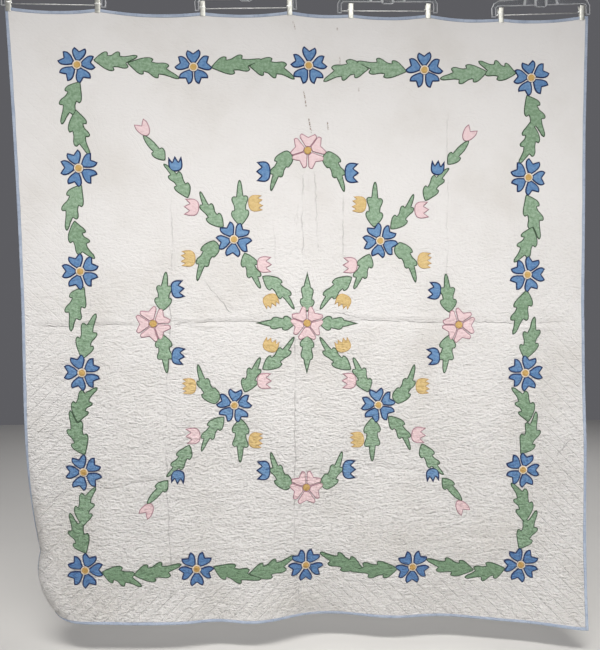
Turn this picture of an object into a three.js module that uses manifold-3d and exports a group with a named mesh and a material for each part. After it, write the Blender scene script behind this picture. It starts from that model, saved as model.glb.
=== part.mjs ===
// An applique quilt hung by its top edge from four clip hangers. Millimetres, +Z up.
// +X runs to the viewer's right and the quilt's face looks along -Y. The origin lies where the
// hooks bear on a level rail, above the middle of the quilt.
import * as THREE from "three";
import { mergeVertices } from "three/addons/utils/BufferGeometryUtils.js";
import Module from "manifold-3d";

const wasm = await Module();
wasm.setup();
const { clamp, lerp, smoothstep, degToRad } = THREE.MathUtils;

// The quilt in its flat measure: u runs right and v up from the middle of the design
const quilt = {
  drop: 1218.5, // from the rail down to the middle of the design
  thick: 4,
  top: 1088,
  hem: -1108,
  hemSlope: -0.012, // the hem falls a little to the right
  leftSide: -1006,
  leftFlare: 34, // the left side runs out by this much towards the top
  rightSide: 995,
  rightRun: [
    { v: -450, out: 38 }, // how far the right side runs out, from the foot upwards
    { v: -210, out: 27 },
    { v: 80, out: 17 },
    { v: 430, out: 11 },
    { v: 700, out: 5 },
    { v: 1100, out: 3 },
  ],
  slant: 0.0055, // rows of the design fall to the right
  topFade: 350, // depth of the strip that takes up the sag of the top edge
};
const gap = 0.3; // between pieces that lie against each other
const applique = 1; // height of a sewn-on piece above the quilt's face
const centreRise = 0.8; // height of a flower's gold centre above its petals
const flowerClear = 2; // bare face left between a flower and the leaves round it
const binding = { width: 11, wall: 1 };

// Soft folds of the hem: where each lies, how wide it is, how far back it goes and how high it reaches
const hemFolds = [
  { at: -560, spread: 150, back: -16, rise: 220 },
  { at: -330, spread: 60, back: 20, rise: 160 },
  { at: -190, spread: 60, back: -14, rise: 140 },
  { at: -5, spread: 60, back: 15, rise: 120 },
  { at: 110, spread: 130, back: 84, rise: 240 },
  { at: 510, spread: 125, back: 57, rise: 200 },
  { at: 1040, spread: 120, back: -85, rise: 380 },
];

// The lower left corner rolls back round this point of the flat quilt
const curl = {
  u: -750,
  v: -845,
  radius: 64,
  startSide: 154, // where the roll starts, measured from the point towards the side
  startHem: 262, // the same towards the hem
  sideSlope: 0.165, // above the point the roll runs out of the side at this slope
};

// Hangers: place of the hook along the rail, tilt with the right end up, places of the clips on the bar
const hangers = [
  { at: -876, tilt: 0.1, clips: [-153, 149] },
  { at: -221, tilt: 1.8, clips: [-150, 152] },
  { at: 277, tilt: 1.0, clips: [-130, 143] },
  { at: 822, tilt: 2.7, clips: [-145, 147] },
];
const hanger = {
  barDrop: 120,
  barRadius: 2,
  barSides: 10,
  halfSpan: 162, // to the inner face of each foot
  frameThick: 8,
  bossTop: -52,
};
// Right half of a hanger's frame, from under the beam round the foot and back to the boss
const frameHalf = [
  { x: 14, z: -97 },
  { x: 25, z: -90 },
  { x: 156, z: -90 },
  { x: 162, z: -95 },
  { x: 162, z: -127 },
  { x: 177, z: -127 },
  { x: 177, z: -95 },
  { x: 168, z: -78 },
  { x: 150, z: -69 },
  { x: 18, z: -62 },
  { x: 12, z: -52 },
];
const hook = { innerRadius: 17, wireRadius: 1.8, stemTop: -46, arcStart: -50, arcEnd: 205 };
const hookSteps = { arc: 9, wire: 16 };
const clip = {
  width: 18,
  wall: 1.2,
  below: 26,
  above: 24,
  flare: 6,
  flareFrom: 6,
  overlap: 14, // how far a clip reaches over the quilt's edge
  curlAngles: [0, 60, 120, 180],
};
const sagPerSpan = 0.035; // dip of the top edge between clips, as a share of their spacing

// Layout of the design
const border = { halfWidth: 800, halfHeight: 898, across: 5, down: 6 };
const flowerRadius = { border: 63, inner: 61, pink: 59 };
const centreRadius = { border: 18, inner: 18, pink: 14 };
const innerFlower = { u: 261, v: 297 };
const pinkPlaces = [
  { u: 0, v: 612, turn: 90 },
  { u: 0, v: -602, turn: -90 },
  { u: -548, v: -4, turn: 180 },
  { u: 552, v: -4, turn: 0 },
  { u: 0, v: 0, turn: -90 },
];
// Direction of one petal, in degrees: upper left, upper right, lower left, lower right
const innerTurns = [48, 45, 15, 100];
const cornerTurns = [78, 174, 0, 185];
// Border flowers that are sewn well off their even places
const sewnOff = [
  { side: "top", index: 2, du: 2, dv: 11 },
  { side: "top", index: 3, du: 12, dv: 1 },
  { side: "top", index: 4, du: -3, dv: -15 },
  { side: "right", index: 0, du: -5, dv: -10 },
  { side: "bottom", index: 3, du: -3, dv: -10 },
];
// One quarter of the medallion, mirrored to the others. bow bends a leaf to its left, in millimetres
const quarterLeaves = [
  { base: [163, 164], tip: [51, 48], halfWidth: 27, bow: -14 },
  { base: [229, 250], tip: [169, 123], halfWidth: 27, bow: 0 },
  { base: [237, 345], tip: [240, 511], halfWidth: 29, bow: 0 },
  { base: [322, 288], tip: [391, 148], halfWidth: 28, bow: 13 },
  { base: [297, 339], tip: [380, 465], halfWidth: 26, bow: -12 },
  { base: [422, 440], tip: [507, 558], halfWidth: 26, bow: 8 },
  { base: [500, 570], tip: [577, 657], halfWidth: 21, bow: 0 },
  { base: [64, 607], tip: [130, 468], halfWidth: 28, bow: 10 },
  { base: [516, 40], tip: [501, 181], halfWidth: 29, bow: 0 },
];
const quarterBuds = [
  { at: [130, 79], opens: -112, length: 52, halfWidth: 28 },
  { at: [153, 209], opens: 180, length: 55, halfWidth: 29 },
  { at: [184, 425], opens: 175, length: 53, halfWidth: 29 },
  { at: [423, 228], opens: 0, length: 53, halfWidth: 29 },
  { at: [410, 408], opens: 5, length: 55, halfWidth: 30 },
  { at: [465, 559], opens: 85, length: 55, halfWidth: 25 },
  { at: [575, 679], opens: 55, length: 58, halfWidth: 27, heart: true },
  { at: [157, 536], opens: 0, length: 53, halfWidth: 36 },
  { at: [460, 119], opens: 172, length: 51, halfWidth: 32 },
];
const centreLeaf = { reach: [40, 186], halfWidth: 25 };
// Border leaves, two in each gap. Base and tip: share of the way from one flower to the next, and millimetres
// outwards. Then the leaf's bow, outwards. Past the middle of a side the way is counted from its far end.
const borderLeafWidth = 30;
const borderLeaves = {
  top: [
    [[0.14, 16, 0.52, 38, -12], [0.43, 10, 0.88, -40, 12]],
    [[0.15, -2, 0.6, 21, 0], [0.48, 1, 0.88, -48, 17]],
    [[0.15, -4, 0.59, 19, -2], [0.48, -2, 0.875, -52, 17]],
    [[0.14, 14, 0.5, 48, -13], [0.41, 11, 0.855, -24, 5]],
  ],
  bottom: [
    [[0.145, 8, 0.51, 60, -11], [0.43, 17, 0.865, -17, 8]],
    [[0.15, -6, 0.59, 40, 5], [0.475, 19, 0.895, -38, 15]],
    [[0.135, 8, 0.585, 21, 0], [0.465, 9, 0.87, -46, 8]],
    [[0.14, 14, 0.51, 48, -5], [0.425, 18, 0.875, -26, 10]],
  ],
  left: [
    [[0.165, -9, 0.585, 54, 4], [0.44, 5, 0.875, -38, 13]],
    [[0.155, -9, 0.605, 43, 8], [0.505, 16, 0.875, -51, 20]],
    [[0.15, -13, 0.59, 34, 10], [0.87, -2, 0.41, -51, 8]],
    [[0.17, -5, 0.625, 43, 2], [0.5, 16, 0.855, -53, 21]],
    [[0.17, -5, 0.59, 50, 0], [0.45, 3, 0.85, -41, 18]],
  ],
  right: [
    [[0.175, -14, 0.595, 52, 0], [0.44, 1, 0.865, -35, 19]],
    [[0.175, -7, 0.635, 41, 4], [0.5, 15, 0.875, -49, 14]],
    [[0.15, 0, 0.605, -50, 4], [0.865, -3, 0.425, 32, 4]],
    [[0.16, -10, 0.605, 42, 10], [0.49, 15, 0.855, -48, 18]],
    [[0.165, -8, 0.58, 52, 0], [0.445, 7, 0.865, -43, 22]],
  ],
};

// Outlines in shares of a piece's own length and half width
const leafEdge = [
  { along: 0.32, across: 1 },
  { along: 0.4, across: 0.64 },
  { along: 0.62, across: 0.86 },
  { along: 0.69, across: 0.28 },
];
const budEdge = [
  { along: 0.25, across: 0.95 },
  { along: 0.92, across: 0.9 },
  { along: 0.68, across: 0.4 },
];
const heartBudEdge = [
  { along: 0.35, across: 0.75 },
  { along: 1, across: 0.72 },
];
const heartNotch = 0.72;
const petalEdge = [
  { turn: -19, reach: 1 },
  { turn: 0, reach: 0.84 },
  { turn: 19, reach: 1 },
];
const petals = 5;
const petalGap = 14; // the cuts between petals stop this far from the flower's middle

const cloth = (color) => new THREE.MeshStandardMaterial({ color, roughness: 0.9, metalness: 0 });
const materials = {
  quilt: cloth(0xe4e0dc),
  binding: cloth(0xa9c0dd),
  border: cloth(0x4a78b8),
  inner: cloth(0x4a78b8),
  pink: cloth(0xf2c4cc),
  clear: new THREE.MeshStandardMaterial({
    color: 0xd8dee2,
    roughness: 0.15,
    metalness: 0,
    transparent: true,
    opacity: 0.35,
  }),
  steel: new THREE.MeshStandardMaterial({ color: 0xc9c9c6, roughness: 0.3, metalness: 1 }),
};

// The hanging form

const hemAt = (u) => quilt.hem + quilt.hemSlope * u;
const leftAt = (v) => quilt.leftSide - quilt.leftFlare * (Math.max(0, v) / quilt.top) ** 1.5;
function rightAt(v) {
  const steps = quilt.rightRun;
  const next = Math.min(Math.max(1, steps.findIndex((step) => step.v >= v)), steps.length - 1);
  const [low, high] = [steps[next - 1], steps[next]];
  const share = clamp((v - low.v) / (high.v - low.v), 0, 1);
  return quilt.rightSide + lerp(low.out, high.out, share);
}

function clipPoint(row, along) {
  const turn = degToRad(row.tilt);
  return {
    x: row.at + along * Math.cos(turn) + hanger.barDrop * Math.sin(turn),
    z: along * Math.sin(turn) - hanger.barDrop * Math.cos(turn),
  };
}

// Places where clips hold the top edge, left to right
const heldPoints = hangers.flatMap((row) => row.clips.map((along) => clipPoint(row, along)));
const edgeBelowBar = clip.below - clip.overlap;

function topEdgeLift(u) {
  const lifts = heldPoints.map(({ x, z }) => z - edgeBelowBar + quilt.drop - quilt.top + quilt.slant * x);
  const last = heldPoints.length - 1;
  if (u <= heldPoints[0].x) return lifts[0];
  if (u >= heldPoints[last].x) return lifts[last];
  const next = heldPoints.findIndex(({ x }) => x > u);
  const span = heldPoints[next].x - heldPoints[next - 1].x;
  const share = (u - heldPoints[next - 1].x) / span;
  return lerp(lifts[next - 1], lifts[next], share) - 4 * sagPerSpan * span * share * (1 - share);
}

// The middle surface of the hung quilt at a point of the flat one
function hang(u, v) {
  const place = new THREE.Vector3(u, 0, v - quilt.slant * u - quilt.drop);
  place.z += topEdgeLift(u) * smoothstep(v, quilt.top - quilt.topFade, quilt.top);
  for (const fold of hemFolds) {
    const sideways = Math.exp(-0.5 * ((u - fold.at) / fold.spread) ** 2);
    place.y += fold.back * sideways * Math.exp(-(v - hemAt(u)) / fold.rise);
  }
  const du = Math.max(0, curl.u - u);
  const dv = Math.max(0, curl.v - v);
  const out = Math.hypot(du, dv);
  const towardsHem = Math.atan2(dv, du) / (Math.PI / 2);
  const sideStart = curl.startSide + curl.sideSlope * Math.max(0, v - curl.v);
  const past = out - lerp(sideStart, curl.startHem, towardsHem);
  if (past > 0) {
    const angle = past / curl.radius;
    const drawnIn = past - curl.radius * Math.sin(angle);
    place.x += (drawnIn * du) / out;
    place.z += (drawnIn * dv) / out;
    place.y += curl.radius * (1 - Math.cos(angle));
  }
  return place;
}

function faceNormal(u, v) {
  const step = 0.5;
  const along = hang(u + step, v).sub(hang(u - step, v));
  const up = hang(u, v + step).sub(hang(u, v - step));
  return along.cross(up).normalize();
}

// The grid of the quilt. Its columns are close along the hem and the rolled side, wide above them,
// and meet the clips along the top. Rows are closer towards the hem.

const quiltWidth = quilt.rightSide - quilt.leftSide;
const quiltHeight = quilt.top - quilt.hem;
const columnLines = { rolled: 8, rolledPitch: 29, plain: 26, keepEvery: 5 };
const rowLines = { count: 13, first: 19, growth: 1.34, closeBelow: 500 };

function closeColumns() {
  const lines = [0, binding.width];
  for (let k = 1; k <= columnLines.rolled; k++) lines.push(binding.width + k * columnLines.rolledPitch);
  const start = lines.at(-1);
  const end = quiltWidth - binding.width;
  for (let k = 1; k <= columnLines.plain; k++) lines.push(lerp(start, end, k / columnLines.plain));
  lines.push(quiltWidth);
  return lines.map((line) => line / quiltWidth);
}

function wideColumns() {
  const lines = closeColumns();
  const isKept = (k) => k < 2 || k > lines.length - 3 || k % columnLines.keepEvery === 0;
  return lines.filter((_, k) => isKept(k));
}

// Along the top: at each clip, and midway between clips
function clipColumns() {
  const [left, right] = [leftAt(quilt.top), rightAt(quilt.top)];
  const strip = binding.width / quiltWidth;
  const held = heldPoints.map(({ x }) => (x - left) / (right - left));
  const midway = held.slice(1).map((share, k) => (share + held[k]) / 2);
  const inner = [...held, ...midway].filter((share) => share > 3 * strip && share < 1 - 3 * strip);
  return [0, strip, ...inner.sort((a, b) => a - b), 1 - strip, 1];
}

function gridRows() {
  const lines = [0, binding.width];
  for (let k = 1; k < rowLines.count; k++) {
    lines.push(binding.width + (rowLines.first * (rowLines.growth ** k - 1)) / (rowLines.growth - 1));
  }
  const rows = lines.map((line) => ({
    level: line / quiltHeight,
    columns: line < rowLines.closeBelow ? closeColumns() : wideColumns(),
  }));
  const top = [quiltHeight - binding.width, quiltHeight];
  return [...rows, ...top.map((line) => ({ level: line / quiltHeight, columns: clipColumns() }))];
}

let pointCount = 0;
const grid = gridRows().map(({ level, columns }) =>
  columns.map((column) => {
    const v = lerp(hemAt(lerp(quilt.leftSide, quilt.rightSide, column)), quilt.top, level);
    const u = lerp(leftAt(v), rightAt(v), column);
    return { column, index: pointCount++, place: hang(u, v), normal: faceNormal(u, v) };
  }),
);
const lastRow = grid.length - 1;

// Each rim point with its neighbour inside the binding, anticlockwise as seen from the front
const within = (k, list) => Math.min(Math.max(k, 1), list.length - 2);
const [hemRow, topRow] = [grid[0], grid[lastRow]];
const insideRows = grid.map((_, j) => grid[within(j, grid)]);
const rimPoint = (edge, inside, onSide) => ({ edge, inside, onSide });
const acrossRim = (row, next) => row.map((edge, i) => rimPoint(edge, next[within(i, row)], false));
const sideRim = (at, next) => grid.map((row, j) => rimPoint(row.at(at), insideRows[j].at(next), true));
const rim = [
  ...acrossRim(hemRow, grid[1]).slice(0, -1),
  ...sideRim(-1, -2).slice(0, -1),
  ...acrossRim(topRow, grid[lastRow - 1]).slice(1).reverse(),
  ...sideRim(0, 1).slice(1).reverse(),
];

const offset = ({ place, normal }, distance) => place.clone().addScaledVector(normal, distance);

function geometryFrom(points, faces) {
  const geometry = new THREE.BufferGeometry();
  geometry.setAttribute("position", new THREE.Float32BufferAttribute(points.flatMap((p) => p.toArray()), 3));
  geometry.setIndex(faces.flat());
  return geometry;
}

// Merges equal points, and drops the triangles that this closes up
function welded(geometry) {
  const merged = mergeVertices(geometry, 1e-4);
  const corners = [...merged.index.array];
  const triangles = Array.from({ length: corners.length / 3 }, (_, k) => corners.slice(3 * k, 3 * k + 3));
  merged.setIndex(triangles.filter((triangle) => new Set(triangle).size === 3).flat());
  return merged;
}

// Triangles between two rows of the grid, each with its own columns
function stitch(lower, upper) {
  const faces = [];
  let [i, k] = [0, 0];
  while (i < lower.length - 1 || k < upper.length - 1) {
    const lowerNext = lower[i + 1]?.column ?? Infinity;
    const upperNext = upper[k + 1]?.column ?? Infinity;
    if (lowerNext < upperNext) {
      faces.push([lower[i].index, lower[i + 1].index, upper[k].index]);
      i++;
    } else {
      faces.push([lower[i].index, upper[k + 1].index, upper[k].index]);
      k++;
    }
  }
  return faces;
}

// A closed layer of the hung quilt between two distances from its middle surface
function layerGeometry(back, front) {
  const points = [front, back].flatMap((distance) => grid.flat().map((point) => offset(point, distance)));
  const faces = grid.slice(1).flatMap((row, j) => stitch(grid[j], row));
  const behind = faces.map(([a, b, c]) => [a + pointCount, c + pointCount, b + pointCount]);
  const walls = rim.flatMap(({ edge }, k) => {
    const [here, next] = [edge.index, rim[(k + 1) % rim.length].edge.index];
    return [[next, here, here + pointCount], [next, here + pointCount, next + pointCount]];
  });
  return geometryFrom(points, [...faces, ...behind, ...walls]);
}

// The binding: a folded strip round the rim that covers both faces of the quilt's edge
function bindingGeometry() {
  const inner = quilt.thick / 2 + gap;
  const outer = inner + binding.wall;
  const sections = rim.map(({ edge, inside }) => {
    const outwards = edge.place.clone().sub(inside.place).divideScalar(binding.width);
    const round = (distance, beyond) => offset(edge, distance).addScaledVector(outwards, beyond);
    return [
      offset(inside, outer),
      round(outer, gap + binding.wall),
      round(-outer, gap + binding.wall),
      offset(inside, -outer),
      offset(inside, -inner),
      round(-inner, gap),
      round(inner, gap),
      offset(inside, inner),
    ];
  });
  // Each face is split along the same diagonal as the facet of the quilt that it covers
  const startsAtEdge = [false, true, true, false, false, true, true, false];
  const edgeWall = 5;
  const size = startsAtEdge.length;
  const faces = rim.flatMap(({ onSide }, k) => {
    const here = k * size;
    const next = ((k + 1) % rim.length) * size;
    return startsAtEdge.flatMap((startsHere, n) => {
      const m = (n + 1) % size;
      return n === edgeWall || startsHere !== onSide
        ? [[here + n, here + m, next + m], [here + n, next + m, next + n]]
        : [[here + n, here + m, next + n], [here + m, next + m, next + n]];
    });
  });
  return welded(geometryFrom(sections.flat(), faces));
}

// Joining and cutting

function toSolid(geometry) {
  const bare = geometry.clone();
  bare.deleteAttribute("normal");
  bare.deleteAttribute("uv");
  const merged = mergeVertices(bare, 1e-4);
  const vertProperties = Float32Array.from(merged.attributes.position.array);
  const triVerts = Uint32Array.from(merged.index.array);
  return new wasm.Manifold(new wasm.Mesh({ numProp: 3, vertProperties, triVerts }));
}

function toGeometry(solid) {
  const { vertProperties, triVerts } = solid.getMesh();
  const geometry = new THREE.BufferGeometry();
  geometry.setAttribute("position", new THREE.BufferAttribute(Float32Array.from(vertProperties), 3));
  geometry.setIndex([...triVerts]);
  return geometry;
}

const joinAll = (solids) => solids.reduce((joined, solid) => joined.add(solid));

// A prism through the hung quilt, over an outline given on the flat one
function cutter(outline) {
  const through = 400;
  const hung = outline.map(({ x, y }) => hang(x, y)).map(({ x, z }) => new THREE.Vector2(x, z));
  const geometry = new THREE.ExtrudeGeometry(new THREE.Shape(hung), { depth: through, bevelEnabled: false });
  geometry.rotateX(Math.PI / 2).translate(0, through / 2, 0);
  return toSolid(geometry);
}

// Outlines of the sewn-on pieces

const zero = new THREE.Vector2();
const polar = (radius, degrees) => new THREE.Vector2(radius, 0).rotateAround(zero, degToRad(degrees));

function flowerOutline({ u, v, turn }, radius, grow = 0) {
  const middle = new THREE.Vector2(u, v);
  const points = [];
  const pitch = 360 / petals;
  for (let petal = 0; petal < petals; petal++) {
    const axis = turn + pitch * petal;
    for (const row of petalEdge) points.push(polar(radius * row.reach + grow, axis + row.turn));
    points.push(polar(petalGap + 2 * grow, axis + pitch / 2));
  }
  return points.map((point) => point.add(middle));
}

function discOutline({ u, v }, radius, sides = 6) {
  const middle = new THREE.Vector2(u, v);
  return Array.from({ length: sides }, (_, k) => polar(radius, (360 * k) / sides).add(middle));
}

// A mirrored outline along an axis that may bow to its left
function alongAxis(base, tip, halfWidth, bow, rows, ends) {
  const axis = tip.clone().sub(base);
  const length = axis.length();
  const ahead = axis.clone().normalize();
  const left = new THREE.Vector2(-ahead.y, ahead.x);
  const at = (along, across) => {
    const lean = (4 * bow * (1 - 2 * along)) / length;
    const middle = base.clone().addScaledVector(ahead, along * length);
    middle.addScaledVector(left, 4 * bow * along * (1 - along));
    const sideways = left.clone().addScaledVector(ahead, -lean).normalize();
    return middle.addScaledVector(sideways, across * halfWidth);
  };
  const rightSide = rows.map((row) => at(row.along, -row.across));
  const leftSide = rows.map((row) => at(row.along, row.across)).reverse();
  return [at(ends[0], 0), ...rightSide, at(ends[1], 0), ...leftSide];
}

const mirrored = ([u, v], [flipU, flipV]) => new THREE.Vector2(u * flipU, v * flipV);
const quarters = [[-1, 1], [1, 1], [-1, -1], [1, -1]];

// A mirrored quarter turns an outline's order round, so that it is put right again
function anticlockwise(outline) {
  return THREE.ShapeUtils.isClockWise(outline) ? outline.slice().reverse() : outline;
}

function quarterOutlines([flipU, flipV]) {
  const flip = (outline) => anticlockwise(outline.map(({ x, y }) => mirrored([x, y], [flipU, flipV])));
  const leaves = quarterLeaves.map(({ base, tip, halfWidth, bow }) =>
    flip(alongAxis(new THREE.Vector2(...base), new THREE.Vector2(...tip), halfWidth, bow, leafEdge, [0, 1])),
  );
  const buds = quarterBuds.map(({ at, opens, length, halfWidth, heart }) => {
    const half = polar(length / 2, opens);
    const middle = new THREE.Vector2(...at);
    const ends = [middle.clone().sub(half), middle.clone().add(half)];
    const rows = heart ? heartBudEdge : budEdge;
    return flip(alongAxis(...ends, halfWidth, 0, rows, heart ? [0, heartNotch] : [0, 1]));
  });
  return [...leaves, ...buds];
}

function centreLeafOutlines() {
  return [0, 90, 180, 270].map((turn) => {
    const [near, far] = centreLeaf.reach;
    return alongAxis(polar(near, turn), polar(far, turn), centreLeaf.halfWidth, 0, leafEdge, [0, 1]);
  });
}

// Border flowers, named by side and numbered from the top left, with the way one petal points
function borderPlaces() {
  const { halfWidth, halfHeight, across, down } = border;
  const places = { top: [], bottom: [], left: [], right: [] };
  const corners = { top: [cornerTurns[0], cornerTurns[1]], bottom: [cornerTurns[2], cornerTurns[3]] };
  for (const [side, v, turn] of [["top", halfHeight, 90], ["bottom", -halfHeight, -90]]) {
    for (let k = 0; k < across; k++) {
      const u = lerp(-halfWidth, halfWidth, k / (across - 1));
      const atCorner = k === 0 ? corners[side][0] : k === across - 1 ? corners[side][1] : turn;
      places[side].push({ u, v, turn: atCorner });
    }
  }
  for (const [side, u, turn] of [["left", -halfWidth, 180], ["right", halfWidth, 0]]) {
    for (let k = 1; k < down - 1; k++) {
      places[side].push({ u, v: lerp(halfHeight, -halfHeight, k / (down - 1)), turn });
    }
  }
  for (const { side, index, du, dv } of sewnOff) {
    places[side][index].u += du;
    places[side][index].v += dv;
  }
  return places;
}

function gapLeafOutlines(from, to, outwards, leaves) {
  const start = new THREE.Vector2(from.u, from.v);
  const end = new THREE.Vector2(to.u, to.v);
  const between = (share, out) => start.clone().lerp(end, share).addScaledVector(outwards, out);
  return leaves.map(([baseAt, baseOut, tipAt, tipOut, bow]) => {
    const base = between(baseAt, baseOut);
    const tip = between(tipAt, tipOut);
    const leftIsOut = Math.sign(tip.clone().sub(base).cross(outwards));
    return alongAxis(base, tip, borderLeafWidth, bow * leftIsOut, leafEdge, [0, 1]);
  });
}

function borderLeafOutlines(places) {
  const { top, bottom, left, right } = places;
  const sides = [
    { row: top, outwards: new THREE.Vector2(0, 1), leaves: borderLeaves.top },
    { row: bottom, outwards: new THREE.Vector2(0, -1), leaves: borderLeaves.bottom },
    { row: [top[0], ...left, bottom[0]], outwards: new THREE.Vector2(-1, 0), leaves: borderLeaves.left },
    { row: [top.at(-1), ...right, bottom.at(-1)], outwards: new THREE.Vector2(1, 0), leaves: borderLeaves.right },
  ];
  return sides.flatMap(({ row, outwards, leaves }) =>
    leaves.flatMap((pair, k) => {
      const [from, to] = k <= (leaves.length - 1) / 2 ? [row[k], row[k + 1]] : [row[k + 1], row[k]];
      return gapLeafOutlines(from, to, outwards, pair);
    }),
  );
}

// Quilt, flowers and binding

const group = new THREE.Group();

function addMesh(parent, name, geometry, material) {
  const mesh = new THREE.Mesh(geometry, material);
  mesh.name = name;
  parent.add(mesh);
}

const numbered = (name, index) => `${name}_${String(index + 1).padStart(2, "0")}`;
const face = quilt.thick / 2;
const places = borderPlaces();
const flowers = [
  { kind: "border", rows: [...places.top, ...places.left, ...places.right, ...places.bottom] },
  {
    kind: "inner",
    rows: quarters.map(([flipU, flipV], k) => ({
      u: innerFlower.u * flipU,
      v: innerFlower.v * flipV,
      turn: innerTurns[k],
    })),
  },
  { kind: "pink", rows: pinkPlaces },
];
const petalLayer = toSolid(layerGeometry(face + gap, face + gap + applique));
const centreLayer = toSolid(layerGeometry(face + gap, face + gap + applique + centreRise));
const reliefLayer = toSolid(layerGeometry(face - applique, face + applique));

const flowerRoom = [];
for (const { kind, rows } of flowers) {
  rows.forEach((place, k) => {
    const corolla = petalLayer.intersect(cutter(flowerOutline(place, flowerRadius[kind])));
    const centre = centreLayer.intersect(cutter(discOutline(place, centreRadius[kind])));
    addMesh(group, numbered(`flower_${kind}`, k), toGeometry(corolla.add(centre)), materials[kind]);
    flowerRoom.push(cutter(flowerOutline(place, flowerRadius[kind], flowerClear)));
    flowerRoom.push(cutter(discOutline(place, centreRadius[kind] + flowerClear)));
  });
}

const reliefOutlines = [
  ...quarters.flatMap(quarterOutlines),
  ...centreLeafOutlines(),
  ...borderLeafOutlines(places),
];
const relief = joinAll(reliefOutlines.map((outline) => cutter(outline))).subtract(joinAll(flowerRoom));
const raised = toSolid(layerGeometry(-face, face)).add(reliefLayer.intersect(relief));
addMesh(group, "quilt", toGeometry(raised), materials.quilt);
addMesh(group, "binding", bindingGeometry(), materials.binding);

// Hangers

function frameGeometry() {
  const rightHalf = frameHalf.map(({ x, z }) => new THREE.Vector2(x, z));
  const leftHalf = frameHalf.map(({ x, z }) => new THREE.Vector2(-x, z)).reverse();
  const shape = new THREE.Shape([...rightHalf, ...leftHalf]);
  const depth = hanger.frameThick;
  const geometry = new THREE.ExtrudeGeometry(shape, { depth, bevelEnabled: false });
  return geometry.rotateX(Math.PI / 2).translate(0, depth / 2, 0);
}

// A wire in the plane across the hanger: a short stem, then round over the rail and down in front
function hookGeometry() {
  const { innerRadius, wireRadius, stemTop, arcStart, arcEnd } = hook;
  const radius = innerRadius + wireRadius;
  const points = [new THREE.Vector3(0, 0, hanger.bossTop + gap), new THREE.Vector3(0, 0, stemTop)];
  for (let k = 0; k <= hookSteps.arc; k++) {
    const angle = degToRad(lerp(arcStart, arcEnd, k / hookSteps.arc));
    points.push(new THREE.Vector3(0, radius * Math.cos(angle), radius * Math.sin(angle) - innerRadius));
  }
  const section = new THREE.Shape(discOutline({ u: 0, v: 0 }, wireRadius));
  const path = new THREE.CatmullRomCurve3(points);
  const steps = hookSteps.wire;
  return new THREE.ExtrudeGeometry(section, { steps, extrudePath: path, bevelEnabled: false });
}

// One jaw of a clip: a plate beside the bar, flared at its handle, that lies on the bound edge.
// The back jaw also curls over the bar, and hangs on it.
function jawGeometry(isBack) {
  const inside = quilt.thick / 2 + 2 * gap + binding.wall;
  const outside = inside + clip.wall;
  const curlInner = hanger.barRadius + gap;
  const curlOuter = inside - gap;
  const plate = [
    [outside, -clip.below],
    [outside, clip.flareFrom],
    [outside + clip.flare, clip.above],
    [inside + clip.flare, clip.above],
    [inside, clip.flareFrom],
  ];
  const overBar = clip.curlAngles.slice(1).map((turn) => polar(curlOuter, turn).toArray());
  const underCurl = clip.curlAngles.map((turn) => polar(curlInner, turn).toArray()).reverse();
  const bend = [[inside, curlOuter], ...overBar, ...underCurl, [inside, -hanger.barRadius]];
  const section = [...plate, ...(isBack ? bend : []), [inside, -clip.below]];
  const outline = section.map(([out, z]) => new THREE.Vector2(isBack ? out : -out, z));
  const depth = clip.width;
  const geometry = new THREE.ExtrudeGeometry(new THREE.Shape(outline), { depth, bevelEnabled: false });
  // The section's first axis becomes Y and its second Z, and the extrusion runs along X
  const basis = new THREE.Matrix4().makeBasis(
    new THREE.Vector3(0, 1, 0),
    new THREE.Vector3(0, 0, 1),
    new THREE.Vector3(1, 0, 0),
  );
  return geometry.applyMatrix4(basis).translate(-depth / 2, 0, -hanger.barDrop);
}

hangers.forEach((row, k) => {
  const name = `hanger_${k + 1}`;
  const parts = new THREE.Group();
  parts.position.x = row.at;
  parts.rotation.y = -degToRad(row.tilt);
  group.add(parts);
  addMesh(parts, `${name}_frame`, frameGeometry(), materials.clear);
  addMesh(parts, `${name}_hook`, hookGeometry(), materials.steel);
  const { barRadius, barSides, barDrop, halfSpan } = hanger;
  const bar = new THREE.CylinderGeometry(barRadius, barRadius, 2 * (halfSpan - gap), barSides);
  addMesh(parts, `${name}_bar`, bar.rotateZ(Math.PI / 2).translate(0, 0, -barDrop), materials.steel);
  row.clips.forEach((along, side) => {
    const clipParts = new THREE.Group();
    clipParts.position.x = along;
    parts.add(clipParts);
    const clipName = `${name}_clip_${["left", "right"][side]}`;
    addMesh(clipParts, `${clipName}_front`, jawGeometry(false), materials.steel);
    addMesh(clipParts, `${clipName}_back`, jawGeometry(true), materials.steel);
  });
});

export default group;
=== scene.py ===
import math

import bpy
import numpy as np
from mathutils import Matrix, Vector
from mathutils.geometry import delaunay_2d_cdt


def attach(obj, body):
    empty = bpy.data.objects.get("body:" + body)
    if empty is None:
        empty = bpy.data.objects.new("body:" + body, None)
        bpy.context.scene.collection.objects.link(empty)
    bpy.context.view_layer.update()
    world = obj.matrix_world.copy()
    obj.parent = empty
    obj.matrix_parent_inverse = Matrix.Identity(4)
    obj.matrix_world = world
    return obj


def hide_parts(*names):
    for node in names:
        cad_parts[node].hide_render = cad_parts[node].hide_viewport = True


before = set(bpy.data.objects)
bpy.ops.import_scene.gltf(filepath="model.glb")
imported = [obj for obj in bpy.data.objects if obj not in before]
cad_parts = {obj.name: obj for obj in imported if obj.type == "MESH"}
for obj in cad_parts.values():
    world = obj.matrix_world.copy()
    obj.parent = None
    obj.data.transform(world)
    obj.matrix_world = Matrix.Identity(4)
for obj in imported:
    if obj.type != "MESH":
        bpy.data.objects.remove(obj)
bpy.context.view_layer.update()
print("frame loaded:", len(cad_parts), "nodes")

mm = 0.001  # the quilt's tables are in millimetres

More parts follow.
